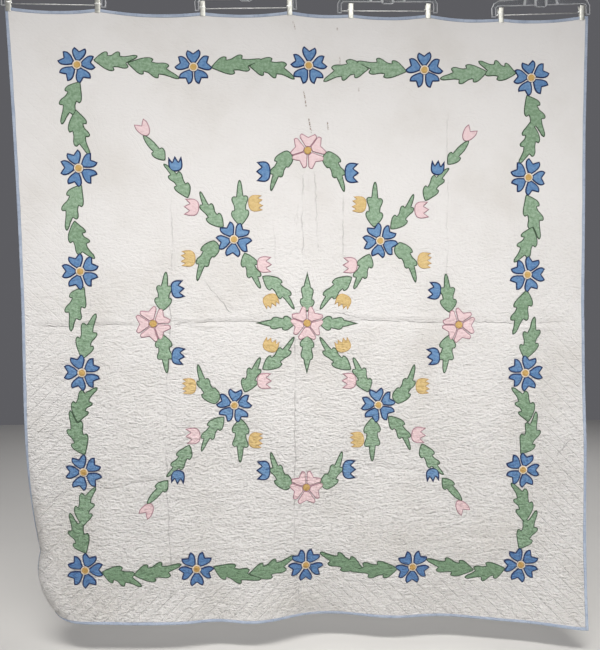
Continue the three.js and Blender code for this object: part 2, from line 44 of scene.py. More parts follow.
# the quilt laid flat: u runs right and v up from the middle of the design
quiltShape = {
    "drop": 1218.5,  # from the rail down to the middle of the design
    "thick": 4.0,
    "top": 1088.0,
    "hem": -1108.0,
    "hemSlope": -0.012,
    "leftSide": -1006.0,
    "leftFlare": 34.0,
    "flareBend": 1.5,
    "rightSide": 995.0,
    "slant": 0.0055,
    "topFade": 350.0,  # depth of the strip that takes up the sag of the top edge
    "sagPerSpan": 0.035,
    "edgeBelowBar": 12.0,
}
# how far the right side runs out: height, run
rightRun = [(-450, 38), (-210, 27), (80, 17), (430, 11), (700, 5), (1100, 3)]
hemFolds = [  # at, spread, back, rise
    (-560, 150, -16, 220),
    (-330, 60, 20, 160),
    (-190, 60, -14, 140),
    (-5, 60, 15, 120),
    (110, 130, 84, 240),
    (510, 125, 57, 200),
    (1040, 120, -85, 380),
]
cornerRoll = {"u": -750, "v": -845, "radius": 64, "startSide": 154, "startHem": 262, "sideSlope": 0.165}
hangerRows = [  # place of the hook along the rail, tilt in degrees, clips along the bar
    {"at": -876, "tilt": 0.1, "clips": (-153, 149)},
    {"at": -221, "tilt": 1.8, "clips": (-150, 152)},
    {"at": 277, "tilt": 1.0, "clips": (-130, 143)},
    {"at": 822, "tilt": 2.7, "clips": (-145, 147)},
]
barDrop = 120.0


def ease(t):
    return t * t * (3 - 2 * t)


def smoothstep(x, low, high):
    return ease(np.clip((x - low) / (high - low), 0, 1))


def bell(x):
    return np.exp(-0.5 * x ** 2)


# what a table of places and values says at any place
def fromTable(x, rows):
    return np.interp(x, [row[0] for row in rows], [row[1] for row in rows])


def hemAt(u):
    return quiltShape["hem"] + quiltShape["hemSlope"] * u


def leftAt(v):
    q = quiltShape
    return q["leftSide"] - q["leftFlare"] * (np.maximum(0, v) / q["top"]) ** q["flareBend"]


def rightAt(v):
    return quiltShape["rightSide"] + fromTable(v, rightRun)


def clipPlaces():
    places = []
    for row in hangerRows:
        turn = math.radians(row["tilt"])
        for along in row["clips"]:
            x = row["at"] + along * math.cos(turn) + barDrop * math.sin(turn)
            places.append((x, along * math.sin(turn) - barDrop * math.cos(turn)))
    return np.array(places)


def topEdgeLift(u):
    held = clipPlaces()
    q = quiltShape
    lifts = held[:, 1] - q["edgeBelowBar"] + q["drop"] - q["top"] + q["slant"] * held[:, 0]
    lift = np.interp(u, held[:, 0], lifts)
    for low, high in zip(held[:-1, 0], held[1:, 0]):
        share = np.clip((u - low) / (high - low), 0, 1)
        lift = lift - 4 * q["sagPerSpan"] * (high - low) * share * (1 - share)
    return lift


# the middle surface of the hung quilt at points of the flat one
def hangMiddle(u, v):
    q = quiltShape
    x = np.array(u, float)
    z = v - q["slant"] * u - q["drop"]
    z = z + topEdgeLift(u) * smoothstep(v, q["top"] - q["topFade"], q["top"])
    y = np.zeros_like(x)
    for at, spread, back, rise in hemFolds:
        y = y + back * bell((u - at) / spread) * np.exp(-(v - hemAt(u)) / rise)
    r = cornerRoll
    du = np.maximum(0, r["u"] - u)
    dv = np.maximum(0, r["v"] - v)
    out = np.maximum(np.hypot(du, dv), 1e-9)
    towardsHem = np.arctan2(dv, du) / (math.pi / 2)
    sideStart = r["startSide"] + r["sideSlope"] * np.maximum(0, v - r["v"])
    past = np.maximum(0, out - (sideStart + (r["startHem"] - sideStart) * towardsHem))
    angle = past / r["radius"]
    drawnIn = past - r["radius"] * np.sin(angle)
    x = x + drawnIn * du / out
    z = z + drawnIn * dv / out
    y = y + r["radius"] * (1 - np.cos(angle))
    return np.stack([x, y, z], -1)


def faceNormals(u, v):
    step = 0.5
    along = hangMiddle(u + step, v) - hangMiddle(u - step, v)
    up = hangMiddle(u, v + step) - hangMiddle(u, v - step)
    normals = np.cross(along, up)
    return normals / np.linalg.norm(normals, axis=-1, keepdims=True)


# points at a height over the middle surface, in metres
def hung(u, v, height):
    return mm * (hangMiddle(u, v) + faceNormals(u, v) * np.asarray(height)[..., None])


# values between the four known ones round each point
def between(values, rows, columns, t, s):
    low = values[rows[0], columns[0]] * (1 - s) + values[rows[0], columns[1]] * s
    high = values[rows[1], columns[0]] * (1 - s) + values[rows[1], columns[1]] * s
    return low * (1 - t) + high * t


# seeded smooth noise from -1 to 1 on a lattice of the given cell size
def clothNoise(u, v, cellU, cellV, seed):
    size = 512
    start = 200.0  # the lattice's place for u and v of nought
    table = np.random.default_rng(seed).uniform(-1, 1, (size, size))
    a = u / cellU + start
    b = v / cellV + start
    i = np.floor(a).astype(int)
    k = np.floor(b).astype(int)
    rows, columns = (k % size, (k + 1) % size), (i % size, (i + 1) % size)
    return between(table, rows, columns, ease(b - k), ease(a - i))


# layout of the design

designRows = {"halfWidth": 800, "halfHeight": 898, "across": 5, "down": 6}
flowerKinds = {
    "border": {"radius": 63, "centre": 17, "core": 13.0, "wide": 1.01},
    "inner": {"radius": 61, "centre": 16.5, "core": 12.6, "wide": 1.05},
    "pink": {"radius": 59, "centre": 13.5, "core": 0, "wide": 1.34},
}
cornerTurns = {("top", 0): 78, ("top", -1): 174, ("low", 0): 0, ("low", -1): 185}
sewnOff = {  # flowers sewn on out of line: side and number, then how far right and up
    ("top", 2): (2, 11),
    ("top", 3): (12, 1),
    ("top", 4): (-3, -15),
    ("right", 0): (-5, -10),
    ("low", 3): (-3, -10),
}


# places round the border, each with the way that its first petal points
def borderFlowers():
    d = designRows
    across = np.linspace(-d["halfWidth"], d["halfWidth"], d["across"])
    down = np.linspace(d["halfHeight"], -d["halfHeight"], d["down"])[1:-1]
    sides = {
        "top": [[u, d["halfHeight"], 90] for u in across],
        "left": [[-d["halfWidth"], v, 180] for v in down],
        "right": [[d["halfWidth"], v, 0] for v in down],
        "low": [[u, -d["halfHeight"], -90] for u in across],
    }
    for (side, index), turn in cornerTurns.items():
        sides[side][index][2] = turn
    for (side, index), (du, dv) in sewnOff.items():
        sides[side][index][0] += du
        sides[side][index][1] += dv
    return sides


quarterFlips = [(-1, 1), (1, 1), (-1, -1), (1, -1)]
innerAt = (261, 297)
innerTurns = [48, 45, 15, 100]
innerFlowers = [(innerAt[0] * a, innerAt[1] * b, turn) for (a, b), turn in zip(quarterFlips, innerTurns)]
pinkFlowers = [(0, 612, 90), (0, -602, -90), (-548, -4, 180), (552, -4, 0), (0, 0, -90)]

# outlines in shares of a piece's length and half width, from base to tip: along, across, and a 1 at a corner.
# a leaf has its left side first, and a bud is the same on both
leafKinds = {
    "border": (
        [(0.03, 0.16), (0.1, 0.5), (0.19, 0.86), (0.27, 1.0), (0.325, 0.9), (0.32, 0.62, 1), (0.41, 0.68),
         (0.51, 0.92), (0.585, 1.0), (0.635, 0.86), (0.62, 0.52, 1), (0.72, 0.4), (0.85, 0.34),
         (0.94, 0.28), (0.99, 0.14)],
        [(0.03, 0.16), (0.13, 0.46), (0.26, 0.82), (0.37, 1.0), (0.44, 0.9), (0.43, 0.6, 1), (0.52, 0.64),
         (0.62, 0.84), (0.69, 0.88), (0.735, 0.72), (0.715, 0.36, 1), (0.83, 0.24), (0.94, 0.16)],
    ),
    "garland": (
        [(0.03, 0.24), (0.1, 0.6), (0.19, 0.92), (0.27, 1.02), (0.33, 0.9), (0.325, 0.62, 1), (0.42, 0.66),
         (0.53, 0.88), (0.6, 0.9), (0.645, 0.72), (0.63, 0.42, 1), (0.74, 0.38), (0.88, 0.3), (0.97, 0.17)],
        [(0.04, 0.26), (0.14, 0.62), (0.27, 0.96), (0.36, 1.02), (0.41, 0.86), (0.4, 0.58, 1), (0.5, 0.62),
         (0.61, 0.82), (0.68, 0.82), (0.72, 0.62), (0.705, 0.34, 1), (0.8, 0.29), (0.92, 0.21),
         (0.98, 0.12)],
    ),
    "bent": (
        [(0.02, 0.36), (0.1, 0.66), (0.22, 0.94), (0.31, 1.0), (0.36, 0.86), (0.35, 0.58, 1), (0.45, 0.6),
         (0.54, 0.8), (0.61, 0.8), (0.65, 0.62), (0.64, 0.36, 1), (0.75, 0.31), (0.89, 0.25), (0.97, 0.14)],
        [(0.01, 0.42), (0.05, 0.78), (0.13, 1.02), (0.24, 1.06), (0.32, 0.98), (0.345, 0.74, 1),
         (0.44, 0.74), (0.54, 0.86), (0.6, 0.82), (0.635, 0.62), (0.63, 0.44, 1), (0.75, 0.38),
         (0.89, 0.28), (0.97, 0.15)],
    ),
    "straight": (
        [(0.04, 0.26), (0.12, 0.62), (0.22, 0.94), (0.3, 1.02), (0.355, 0.88), (0.36, 0.66, 1),
         (0.45, 0.7), (0.55, 0.9), (0.625, 0.94), (0.665, 0.72), (0.66, 0.4, 1), (0.78, 0.34), (0.9, 0.26),
         (0.98, 0.14)],
        [(0.04, 0.28), (0.12, 0.66), (0.21, 0.96), (0.28, 1.02), (0.335, 0.88), (0.34, 0.66, 1),
         (0.43, 0.7), (0.53, 0.9), (0.6, 0.94), (0.645, 0.74), (0.64, 0.42, 1), (0.76, 0.34), (0.9, 0.25),
         (0.98, 0.13)],
    ),
    "small": (
        [(0.05, 0.3), (0.14, 0.72), (0.24, 1.02), (0.32, 1.04), (0.37, 0.88), (0.37, 0.6, 1), (0.5, 0.62),
         (0.66, 0.6), (0.82, 0.46), (0.94, 0.26)],
        [(0.05, 0.34), (0.16, 0.76), (0.28, 1.04), (0.38, 1.06), (0.44, 0.88), (0.43, 0.56, 1),
         (0.56, 0.6), (0.7, 0.58), (0.85, 0.42), (0.95, 0.22)],
    ),
    "centre": (
        [(0.04, 0.24), (0.12, 0.64), (0.2, 0.95), (0.275, 1.02), (0.335, 0.88), (0.345, 0.66, 1),
         (0.43, 0.74), (0.52, 0.86), (0.59, 0.82), (0.635, 0.64), (0.64, 0.48, 1), (0.72, 0.4),
         (0.84, 0.22), (0.93, 0.09)],
        [(0.04, 0.22), (0.11, 0.6), (0.18, 0.92), (0.25, 1.02), (0.305, 0.9), (0.315, 0.68, 1),
         (0.4, 0.76), (0.49, 0.88), (0.55, 0.84), (0.6, 0.66), (0.605, 0.5, 1), (0.7, 0.42), (0.83, 0.23),
         (0.93, 0.09)],
    ),
}
sharpLeaves = ("centre", "small")  # these end in a point
leafSpread = 1.05
budKinds = {
    "tulip": [(0.03, 0.42), (0.13, 0.78), (0.34, 0.98), (0.6, 1.0), (0.8, 0.95), (0.97, 0.92, 1),
              (0.8, 0.66), (0.63, 0.42, 1), (0.8, 0.24)],
    "ragged": [(0.03, 0.44), (0.14, 0.8), (0.36, 1.0), (0.66, 0.98), (0.95, 0.88, 1), (0.7, 0.6, 1),
               (1.0, 0.36, 1)],
    "heart": [(0.05, 0.3), (0.22, 0.62), (0.48, 0.82), (0.74, 0.88), (1.0, 0.72, 1), (0.86, 0.34)],
}
budTips = {"tulip": 1.0, "ragged": 0.70, "heart": 0.70}  # where the outline ends on its axis

# one quarter of the medallion: base, tip, half width, bow to the left, kind
quarterLeaves = [
    ((161, 167), (46, 49), 27, -13, "garland"),
    ((224, 250), (167, 123), 28, 0, "garland"),
    ((238, 344), (241, 506), 30, 0, "straight"),
    ((322, 288), (391, 148), 28, 13, "bent"),
    ((297, 339), (380, 465), 26, -12, "garland"),
    ((422, 440), (507, 558), 26, 8, "garland"),
    ((500, 570), (577, 657), 21, 0, "small"),
    ((64, 607), (130, 468), 28, 10, "bent"),
    ((516, 40), (501, 181), 29, 0, "straight"),
]
# middle, direction it opens in, length, half width, kind, colour
quarterBuds = [
    ((130, 79), -112, 52, 28, "ragged", "gold"),
    ((153, 209), 180, 55, 29, "tulip", "pink"),
    ((184, 425), 175, 53, 29, "ragged", "gold"),
    ((423, 228), 0, 53, 29, "ragged", "gold"),
    ((410, 408), 5, 55, 30, "tulip", "pink"),
    ((465, 559), 85, 55, 25, "tulip", "blue"),
    ((575, 679), 55, 58, 27, "heart", "pink"),
    ((157, 536), 0, 53, 36, "tulip", "blue"),
    ((460, 119), 172, 51, 32, "tulip", "blue"),
]
centreLeaf = {"from": 40, "to": 186, "halfWidth": 25}
# two leaves in each gap. base and tip: share of the way between flowers and mm outwards, then the bow.
# past the middle of a side the way is counted from its far end
borderLeafWidth = 33
borderLeafRows = {
    "top": [
        ((0.14, 16, 0.52, 38, -12), (0.43, 10, 0.88, -40, 12)),
        ((0.15, -2, 0.60, 21, 0), (0.48, 1, 0.88, -48, 17)),
        ((0.15, -4, 0.59, 19, -2), (0.48, -2, 0.875, -52, 17)),
        ((0.14, 14, 0.50, 48, -13), (0.41, 11, 0.855, -24, 5)),
    ],
    "low": [
        ((0.145, 8, 0.51, 60, -11), (0.43, 17, 0.865, -17, 8)),
        ((0.15, -6, 0.59, 40, 5), (0.475, 19, 0.895, -38, 15)),
        ((0.135, 8, 0.585, 21, 0), (0.465, 9, 0.87, -46, 8)),
        ((0.14, 14, 0.51, 48, -5), (0.425, 18, 0.875, -26, 10)),
    ],
    "left": [
        ((0.165, -9, 0.585, 54, 4), (0.44, 5, 0.875, -38, 13)),
        ((0.155, -9, 0.605, 43, 8), (0.505, 16, 0.875, -51, 20)),
        ((0.15, -13, 0.59, 34, 10), (0.87, -2, 0.41, -51, 8)),
        ((0.17, -5, 0.625, 43, 2), (0.50, 16, 0.855, -53, 21)),
        ((0.17, -5, 0.59, 50, 0), (0.45, 3, 0.85, -41, 18)),
    ],
    "right": [
        ((0.175, -14, 0.595, 52, 0), (0.44, 1, 0.865, -35, 19)),
        ((0.175, -7, 0.635, 41, 4), (0.50, 15, 0.875, -49, 14)),
        ((0.15, 0, 0.605, -50, 4), (0.865, -3, 0.425, 32, 4)),
        ((0.16, -10, 0.605, 42, 10), (0.49, 15, 0.855, -48, 18)),
        ((0.165, -8, 0.58, 52, 0), (0.445, 7, 0.865, -43, 22)),
    ],
}
outlineStep = 3.2


# a smooth line through points that breaks at corners, with points about a step apart
def smoothLine(points, corners, step):
    points = np.asarray(points, float)
    breaks = [0] + [k for k in range(1, len(points) - 1) if corners[k]] + [len(points) - 1]
    line = [points[:1]]
    for first, last in zip(breaks[:-1], breaks[1:]):
        part = points[first:last + 1]
        padded = np.vstack([2 * part[0] - part[1], part, 2 * part[-1] - part[-2]])
        for k in range(1, len(padded) - 2):
            p0, p1, p2, p3 = padded[k - 1:k + 3]
            count = max(1, int(round(np.linalg.norm(p2 - p1) / step)))
            t = (np.arange(1, count + 1) / count)[:, None]
            line.append(0.5 * (2 * p1 + (p2 - p0) * t + (2 * p0 - 5 * p1 + 4 * p2 - p3) * t ** 2
                               + (3 * p1 - p0 - 3 * p2 + p3) * t ** 3))
    return np.vstack(line)


def isCorner(row):
    return len(row) == 3


# an outline along an axis that may bow to its left. tipAt: where it ends on the axis
def alongAxis(base, tip, halfWidth, bow, left, right, tipAt, tipCorner):
    base = np.asarray(base, float)
    axis = np.asarray(tip, float) - base
    length = np.linalg.norm(axis)
    ahead = axis / length
    side = np.array([-ahead[1], ahead[0]])

    def at(along, across):
        lean = 4 * bow * (1 - 2 * along) / length
        sideways = (side - lean * ahead) / math.hypot(1, lean)
        onAxis = base + ahead * along * length + side * 4 * bow * along * (1 - along)
        return onAxis + sideways * across * halfWidth

    rightPoints = [at(row[0], -row[1]) for row in right]
    leftPoints = [at(row[0], row[1]) for row in left[::-1]]
    points = [at(0.0, 0), *rightPoints, at(tipAt, 0), *leftPoints, at(0.0, 0)]
    corners = [False, *map(isCorner, right), tipCorner, *map(isCorner, left[::-1]), False]
    return smoothLine(points, corners, outlineStep)[:-1]


def flipped(outline, flips):
    outline = outline * np.array(flips)
    return outline[::-1] if flips[0] * flips[1] < 0 else outline


def polar(radius, degrees):
    return np.array([radius * math.cos(math.radians(degrees)), radius * math.sin(math.radians(degrees))])


# one petal: shares of the radius outwards and sideways
petalSide = [(0.22, 0.11), (0.34, 0.205), (0.48, 0.305), (0.62, 0.375), (0.76, 0.41), (0.9, 0.39),
             (1.02, 0.31, 1), (0.92, 0.15)]
petalNotch = 0.81
petalRoom = 0.68  # most a petal may spread, as a share of the way out, so that neighbours stay apart
petalUneven = {"turn": 2.5, "reach": (0.96, 1.03), "wide": (0.95, 1.05)}


def petalOutlines(u, v, turn, radius, spread, seed):
    rng = np.random.default_rng(seed)
    petals = []
    for k in range(5):
        angle = turn + 72 * k + rng.uniform(-petalUneven["turn"], petalUneven["turn"])
        reach = radius * rng.uniform(*petalUneven["reach"])
        wide = spread * rng.uniform(*petalUneven["wide"])
        ahead = polar(1, angle)
        side = polar(1, angle + 90)
        edge = [(a, min(c * wide, petalRoom * a), *corner) for a, c, *corner in petalSide]
        rows = [(a, -c, *corner) for a, c, *corner in edge] + [(petalNotch, 0, 1)] + edge[::-1]
        points = [np.array([u, v]) + (ahead * row[0] + side * row[1]) * reach for row in rows]
        points.append(points[0])
        corners = [True, *map(isCorner, rows[1:-1]), True, True]
        petals.append(smoothLine(points, corners, outlineStep)[:-1])
    return petals


def discOutline(u, v, radius, seed):
    rng = np.random.default_rng(seed)
    angles = np.arange(0, 360, 15)
    wobble = radius * (1 + rng.uniform(-0.03, 0.03, len(angles)))
    return np.array([np.array([u, v]) + polar(r, a) for r, a in zip(wobble, angles)])


def leafOutline(base, tip, halfWidth, bow, kind, swap=False):
    left, right = leafKinds[kind][::-1] if swap else leafKinds[kind]
    return alongAxis(base, tip, halfWidth * leafSpread, bow, left, right, 1.0, kind in sharpLeaves)


def budOutline(middle, opens, length, halfWidth, kind):
    reach = polar(length / 2, opens)
    rows = budKinds[kind]
    return alongAxis(np.array(middle) - reach, np.array(middle) + reach, halfWidth, 0, rows, rows,
                     budTips[kind], True)


# the lobes of the first leaf stand nearer its base on the outer side, those of the second on the inner side
def gapLeaves(start, end, outwards, rows):
    start, end, outwards = (np.asarray(p, float) for p in (start, end, outwards))
    leaves = []
    for isSecond, (baseAt, baseOut, tipAt, tipOut, bow) in enumerate(rows):
        base = start + (end - start) * baseAt + outwards * baseOut
        tip = start + (end - start) * tipAt + outwards * tipOut
        leftIsOut = np.cross(tip - base, outwards) > 0
        bow = bow if leftIsOut else -bow
        leaves.append(leafOutline(base, tip, borderLeafWidth, bow, "border", leftIsOut == bool(isSecond)))
    return leaves


def borderLeaves(sides):
    top, left, right, low = sides["top"], sides["left"], sides["right"], sides["low"]
    runs = {
        "top": (top, (0, 1)),
        "low": (low, (0, -1)),
        "left": ([top[0], *left, low[0]], (-1, 0)),
        "right": ([top[-1], *right, low[-1]], (1, 0)),
    }
    leaves = {}
    for name, (row, outwards) in runs.items():
        leaves[name] = []
        middle = (len(row) - 2) / 2
        for k, pair in enumerate(borderLeafRows[name]):
            start, end = (row[k], row[k + 1]) if k <= middle else (row[k + 1], row[k])
            leaves[name] += gapLeaves(start[:2], end[:2], outwards, pair)
    return leaves


sides = borderFlowers()
flowerPlaces = {
    "border": sides["top"] + sides["left"] + sides["right"] + sides["low"],
    "inner": innerFlowers,
    "pink": pinkFlowers,
}
leafGroups = {f"borderLeaves_{name}": rows for name, rows in borderLeaves(sides).items()}
budGroups = {"pink": [], "blue": [], "gold": []}
for number, flips in enumerate(quarterFlips, 1):
    leafGroups[f"gardenLeaves_{number}"] = [flipped(leafOutline(*row), flips) for row in quarterLeaves]
    for *row, colour in quarterBuds:
        budGroups[colour].append(flipped(budOutline(*row), flips))
leafGroups["centreLeaves"] = [
    leafOutline(polar(centreLeaf["from"], way), polar(centreLeaf["to"], way), centreLeaf["halfWidth"], 0,
                "centre") for way in (0, 90, 180, 270)]
allOutlines = [row for groups in (leafGroups, budGroups) for rows in groups.values() for row in rows]
print("outlines drawn:", len(allOutlines), "leaves and buds")


# distance of points to a closed outline
def outlineDistance(points, outline):
    chunk = 4000  # points at a time
    steps = np.roll(outline, -1, 0) - outline
    lengths = np.maximum((steps ** 2).sum(1), 1e-9)
    best = np.full(len(points), 1e9)
    for low in range(0, len(points), chunk):
        away = points[low:low + chunk, None] - outline[None]
        share = np.clip((away * steps).sum(-1) / lengths, 0, 1)
        best[low:low + chunk] = np.sqrt(((away - share[..., None] * steps) ** 2).sum(-1)).min(1)
    return best


def insideOutline(points, outline):
    x, y = points[:, :1], points[:, 1:]
    x1, y1 = outline[:, 0], outline[:, 1]
    x2, y2 = np.roll(x1, -1), np.roll(y1, -1)
    crosses = (y1 > y) != (y2 > y)
    rise = np.where(y2 == y1, 1e-9, y2 - y1)
    return ((crosses & (x < (x2 - x1) * (y - y1) / rise + x1)).sum(1) % 2) == 1


# the quilt's grid and the relief of its face

gridPitch = {
    "wide": 11.6,
    "close": 4.5,
    "bands": [(-535, -450), (-130, -110), (-80, 45), (115, 140), (480, 525)],
    "row": 4.3,
    "highRow": 7.5,
    "highFrom": 430,
}


# columns stand closer together where the long upright folds run
def columnStep(u):
    isClose = any(low <= u < high for low, high in gridPitch["bands"])
    return gridPitch["close" if isClose else "wide"]


# rows stand closer together below, where the cloth is crinkled
def rowStep(v):
    return gridPitch["row" if v < gridPitch["highFrom"] else "highRow"]


# places from start to end as shares of the way
def shareSteps(start, end, stepAt):
    places = [start]
    while places[-1] < end:
        places.append(places[-1] + stepAt(places[-1]))
    places = np.array(places)
    return (places - places[0]) / (places[-1] - places[0])


def hemBelow(column):
    q = quiltShape
    return hemAt(q["leftSide"] + (q["rightSide"] - q["leftSide"]) * column)


def flatGrid(columns, levels):
    column, level = np.meshgrid(columns, levels)
    low = hemBelow(column)
    v = low + (quiltShape["top"] - low) * level
    u = leftAt(v) + (rightAt(v) - leftAt(v)) * column
    return u, v


# old fold lines and drag lines: from, to, width, height (a trough is negative), wander
creases = [
    ((-478, 470), (-482, 150), 7, -1.1, 5),
    ((-500, 320), (-506, -240), 6, 1.1, 6),
    ((-482, 150), (-508, -400), 7, -1.7, 6),
    ((-508, -400), (-490, -1050), 7, -1.9, 5),
    ((-486, -560), (-474, -1040), 6, 1.2, 4),
    ((-44, -10), (-42, -860), 6, -1.8, 3),
    ((-28, -20), (-27, -880), 6, 1.6, 3),
    ((-38, -860), (-20, -1090), 9, -2.0, 4),
    ((498, 760), (502, 400), 5, -0.8, 4),
    ((502, 420), (508, 60), 5, -0.85, 4),
    ((514, 700), (516, 150), 5, 1.1, 4),
    ((-985, -14), (-560, -10), 6, -1.8, 4),
    ((-980, 4), (-600, 10), 6, 1.3, 4),
    ((-500, -2), (-60, 2), 7, -1.8, 5),
    ((-485, -6), (-330, -38), 6, -1.5, 3),
    ((-470, 12), (-200, 16), 7, 1.2, 5),
    ((60, 8), (990, 6), 7, -1.7, 5),
    ((95, 40), (210, 14), 7, -1.5, 3),
    ((120, 24), (640, 24), 8, 1.2, 6),
    ((600, -10), (980, -14), 7, 1.2, 5),
    ((-760, -604), (-500, -560), 7, -1.6, 7),
    ((-760, -575), (-520, -540), 8, 1.3, 7),
    ((-960, -590), (-800, -560), 9, -1.2, 8),
    ((190, -520), (480, -548), 7, -1.4, 6),
    ((240, -540), (420, -600), 8, 1.0, 6),
    ((480, -550), (760, -556), 8, -1.1, 8),
    ((-371, 151), (-265, 26), 7, -2.0, 3),
    ((-352, 152), (-250, 34), 8, 1.2, 3),
    ((-16, 545), (-19, 215), 4.5, -1.2, 4),
    ((-6, 540), (-8, 230), 4.5, 1.2, 4),
    ((22, 545), (38, 240), 4.5, -1.2, 4),
    ((33, 530), (49, 250), 4.5, 1.0, 4),
    ((122, 530), (130, 215), 4.5, -1.2, 4),
    ((132, 500), (139, 235), 4.5, 1.0, 4),
    ((-120, 350), (-117, 205), 4.5, -0.6, 4),
    ((-28, 440), (-50, 330), 5, -0.6, 4),
    ((-74, 233), (-37, 270), 5, -0.8, 3),
    ((-58, 470), (-66, 250), 6, 0.9, 5),
    ((-20, -880), (-120, -700), 12, 1.0, 8),
    ((-10, -880), (110, -720), 12, 1.0, 8),
    ((-30, -960), (-70, -1100), 10, 1.4, 4),
    ((10, -960), (70, -1100), 10, 1.4, 4),
    ((-640, -1020), (-560, -900), 14, -1.2, 6),
    ((760, -1060), (980, -900), 30, 2.2, 8),
    ((700, -1080), (900, -820), 34, -2.2, 8),
    ((-930, -420), (-880, -640), 22, 2.0, 10),
    ((-940, -383), (-862, -440), 6, -1.9, 3),
    ((-864, -598), (-918, -654), 6, -1.6, 3),
    ((978, -418), (914, -498), 6, -1.8, 3),
    ((980, -546), (900, -550), 6, -1.6, 3),
]
creaseEnds = {"rise": (-0.02, 0.14), "fall": (0.84, 1.02)}  # in shares of a crease's length
creaseWander = (70, 70)  # cell of the noise that bends it
creaseLine = {"reach": 12, "fullDepth": 1.8, "broad": 12, "far": 60.0}  # a thin line lies in narrow ones
# ridges that fan out below the clips
clipDrag = {"length": 150, "width": 9, "height": 1.1, "leans": (-0.35, 0.0, 0.35), "start": (0, 25)}
# waves and crinkle: height, cell across and up, seed
ripples = {"wide": (1.9, 260, 190, 11), "middle": (0.9, 44, 21, 13), "fine": (1.2, 20, 9.0, 14)}
rippleBend = (9, 130, 130, 12)
wideShare = {"dry": 0.45, "washed": 0.5}  # the wide waves aren't all the washing's
borderQuilting = {"pitch": 36.0, "height": 0.75, "round": 0.7, "level": 0.7, "halfWidth": 852,
                  "halfHeight": 948, "edge": (-6, 14)}
# the crinkle is strong near the hem and nearly gone at the top
washedSteps = [(-1110, 1.2), (-700, 1.1), (-420, 0.94), (-200, 0.68), (0, 0.46), (250, 0.26), (500, 0.11),
               (1090, 0.07)]


def washedAt(v):
    return fromTable(v, washedSteps)


# how far a point lies in the quilted border, and its place across the slanting rows
def borderRowsAt(u, v):
    b = borderQuilting
    rows = (np.abs(u) - np.abs(v)) / math.sqrt(2)
    out = np.maximum(np.abs(u) - b["halfWidth"], np.abs(v) - b["halfHeight"])
    return rows, smoothstep(out, *b["edge"])


def borderPuff(u, v):
    b = borderQuilting
    rows, inBorder = borderRowsAt(u, v)
    puff = np.abs(np.sin(math.pi * rows / b["pitch"])) ** b["round"]
    return b["height"] * washedAt(v) * inBorder * (puff - b["level"])


def waves(wave, share, u, v):
    height, *lattice = wave
    return height * share * clothNoise(u, v, *lattice)


# height over the face, the way across to the nearest fold line in millimetres, and how strong that line is
def reliefOf(u, v):
    low = washedAt(v)
    bent = v + waves(rippleBend, 1, u, v)
    height = waves(ripples["wide"], wideShare["dry"] + wideShare["washed"] * low, u, v)
    height += waves(ripples["middle"], low, u, bent)
    height += waves(ripples["fine"], low, u, bent)
    line = creaseLine
    foldAside = np.full_like(height, line["far"])
    foldDepth = np.zeros_like(height)
    for (u1, v1), (u2, v2), width, rise, wander in creases:
        length = math.hypot(u2 - u1, v2 - v1)
        ahead = ((u2 - u1) / length, (v2 - v1) / length)
        along = ((u - u1) * ahead[0] + (v - v1) * ahead[1]) / length
        aside = -(u - u1) * ahead[1] + (v - v1) * ahead[0]
        aside = aside + wander * clothNoise(u, v, *creaseWander, int(abs(u1) + 3 * abs(v1)))
        ends = smoothstep(along, *creaseEnds["rise"]) * (1 - smoothstep(along, *creaseEnds["fall"]))
        height += rise * ends * bell(aside / width)
        strength = np.clip(-rise / line["fullDepth"], 0, 1) * (width < line["broad"])
        depth = ends * bell(aside / line["reach"]) * strength
        foldAside = np.where(depth > foldDepth, aside, foldAside)
        foldDepth = np.maximum(depth, foldDepth)
    below = quiltShape["top"] - v
    fade = np.exp(-below / clipDrag["length"]) * smoothstep(below, *clipDrag["start"])
    for x, _ in clipPlaces():
        for lean in clipDrag["leans"]:
            height += clipDrag["height"] * fade * bell((u - x - lean * below) / clipDrag["width"])
    return height + borderPuff(u, v), foldAside, foldDepth


gridColumns = shareSteps(quiltShape["leftSide"], quiltShape["rightSide"], columnStep)
gridLevels = shareSteps(quiltShape["hem"], quiltShape["top"], rowStep)
gridU, gridV = flatGrid(gridColumns, gridLevels)
gridRelief, foldAside, foldDepth = reliefOf(gridU, gridV)


# values of the grid at any point, so that sewn-on pieces lie on the same facets
def readGrid(values, u, v):
    column = (u - leftAt(v)) / (rightAt(v) - leftAt(v))
    low = hemBelow(column)
    a = np.interp(column, gridColumns, np.arange(len(gridColumns)))
    b = np.interp((v - low) / (quiltShape["top"] - low), gridLevels, np.arange(len(gridLevels)))
    i = np.minimum(a.astype(int), len(gridColumns) - 2)
    k = np.minimum(b.astype(int), len(gridLevels) - 2)
    return between(values, (k, k + 1), (i, i + 1), b - k, a - i)


print("relief laid on the grid")


# materials

# sRGB from 0 to 255 as a linear colour
def linear(colour):
    parts = [c / 255 for c in colour]
    return (*(c / 12.92 if c <= 0.04045 else ((c + 0.055) / 1.055) ** 2.4 for c in parts), 1.0)


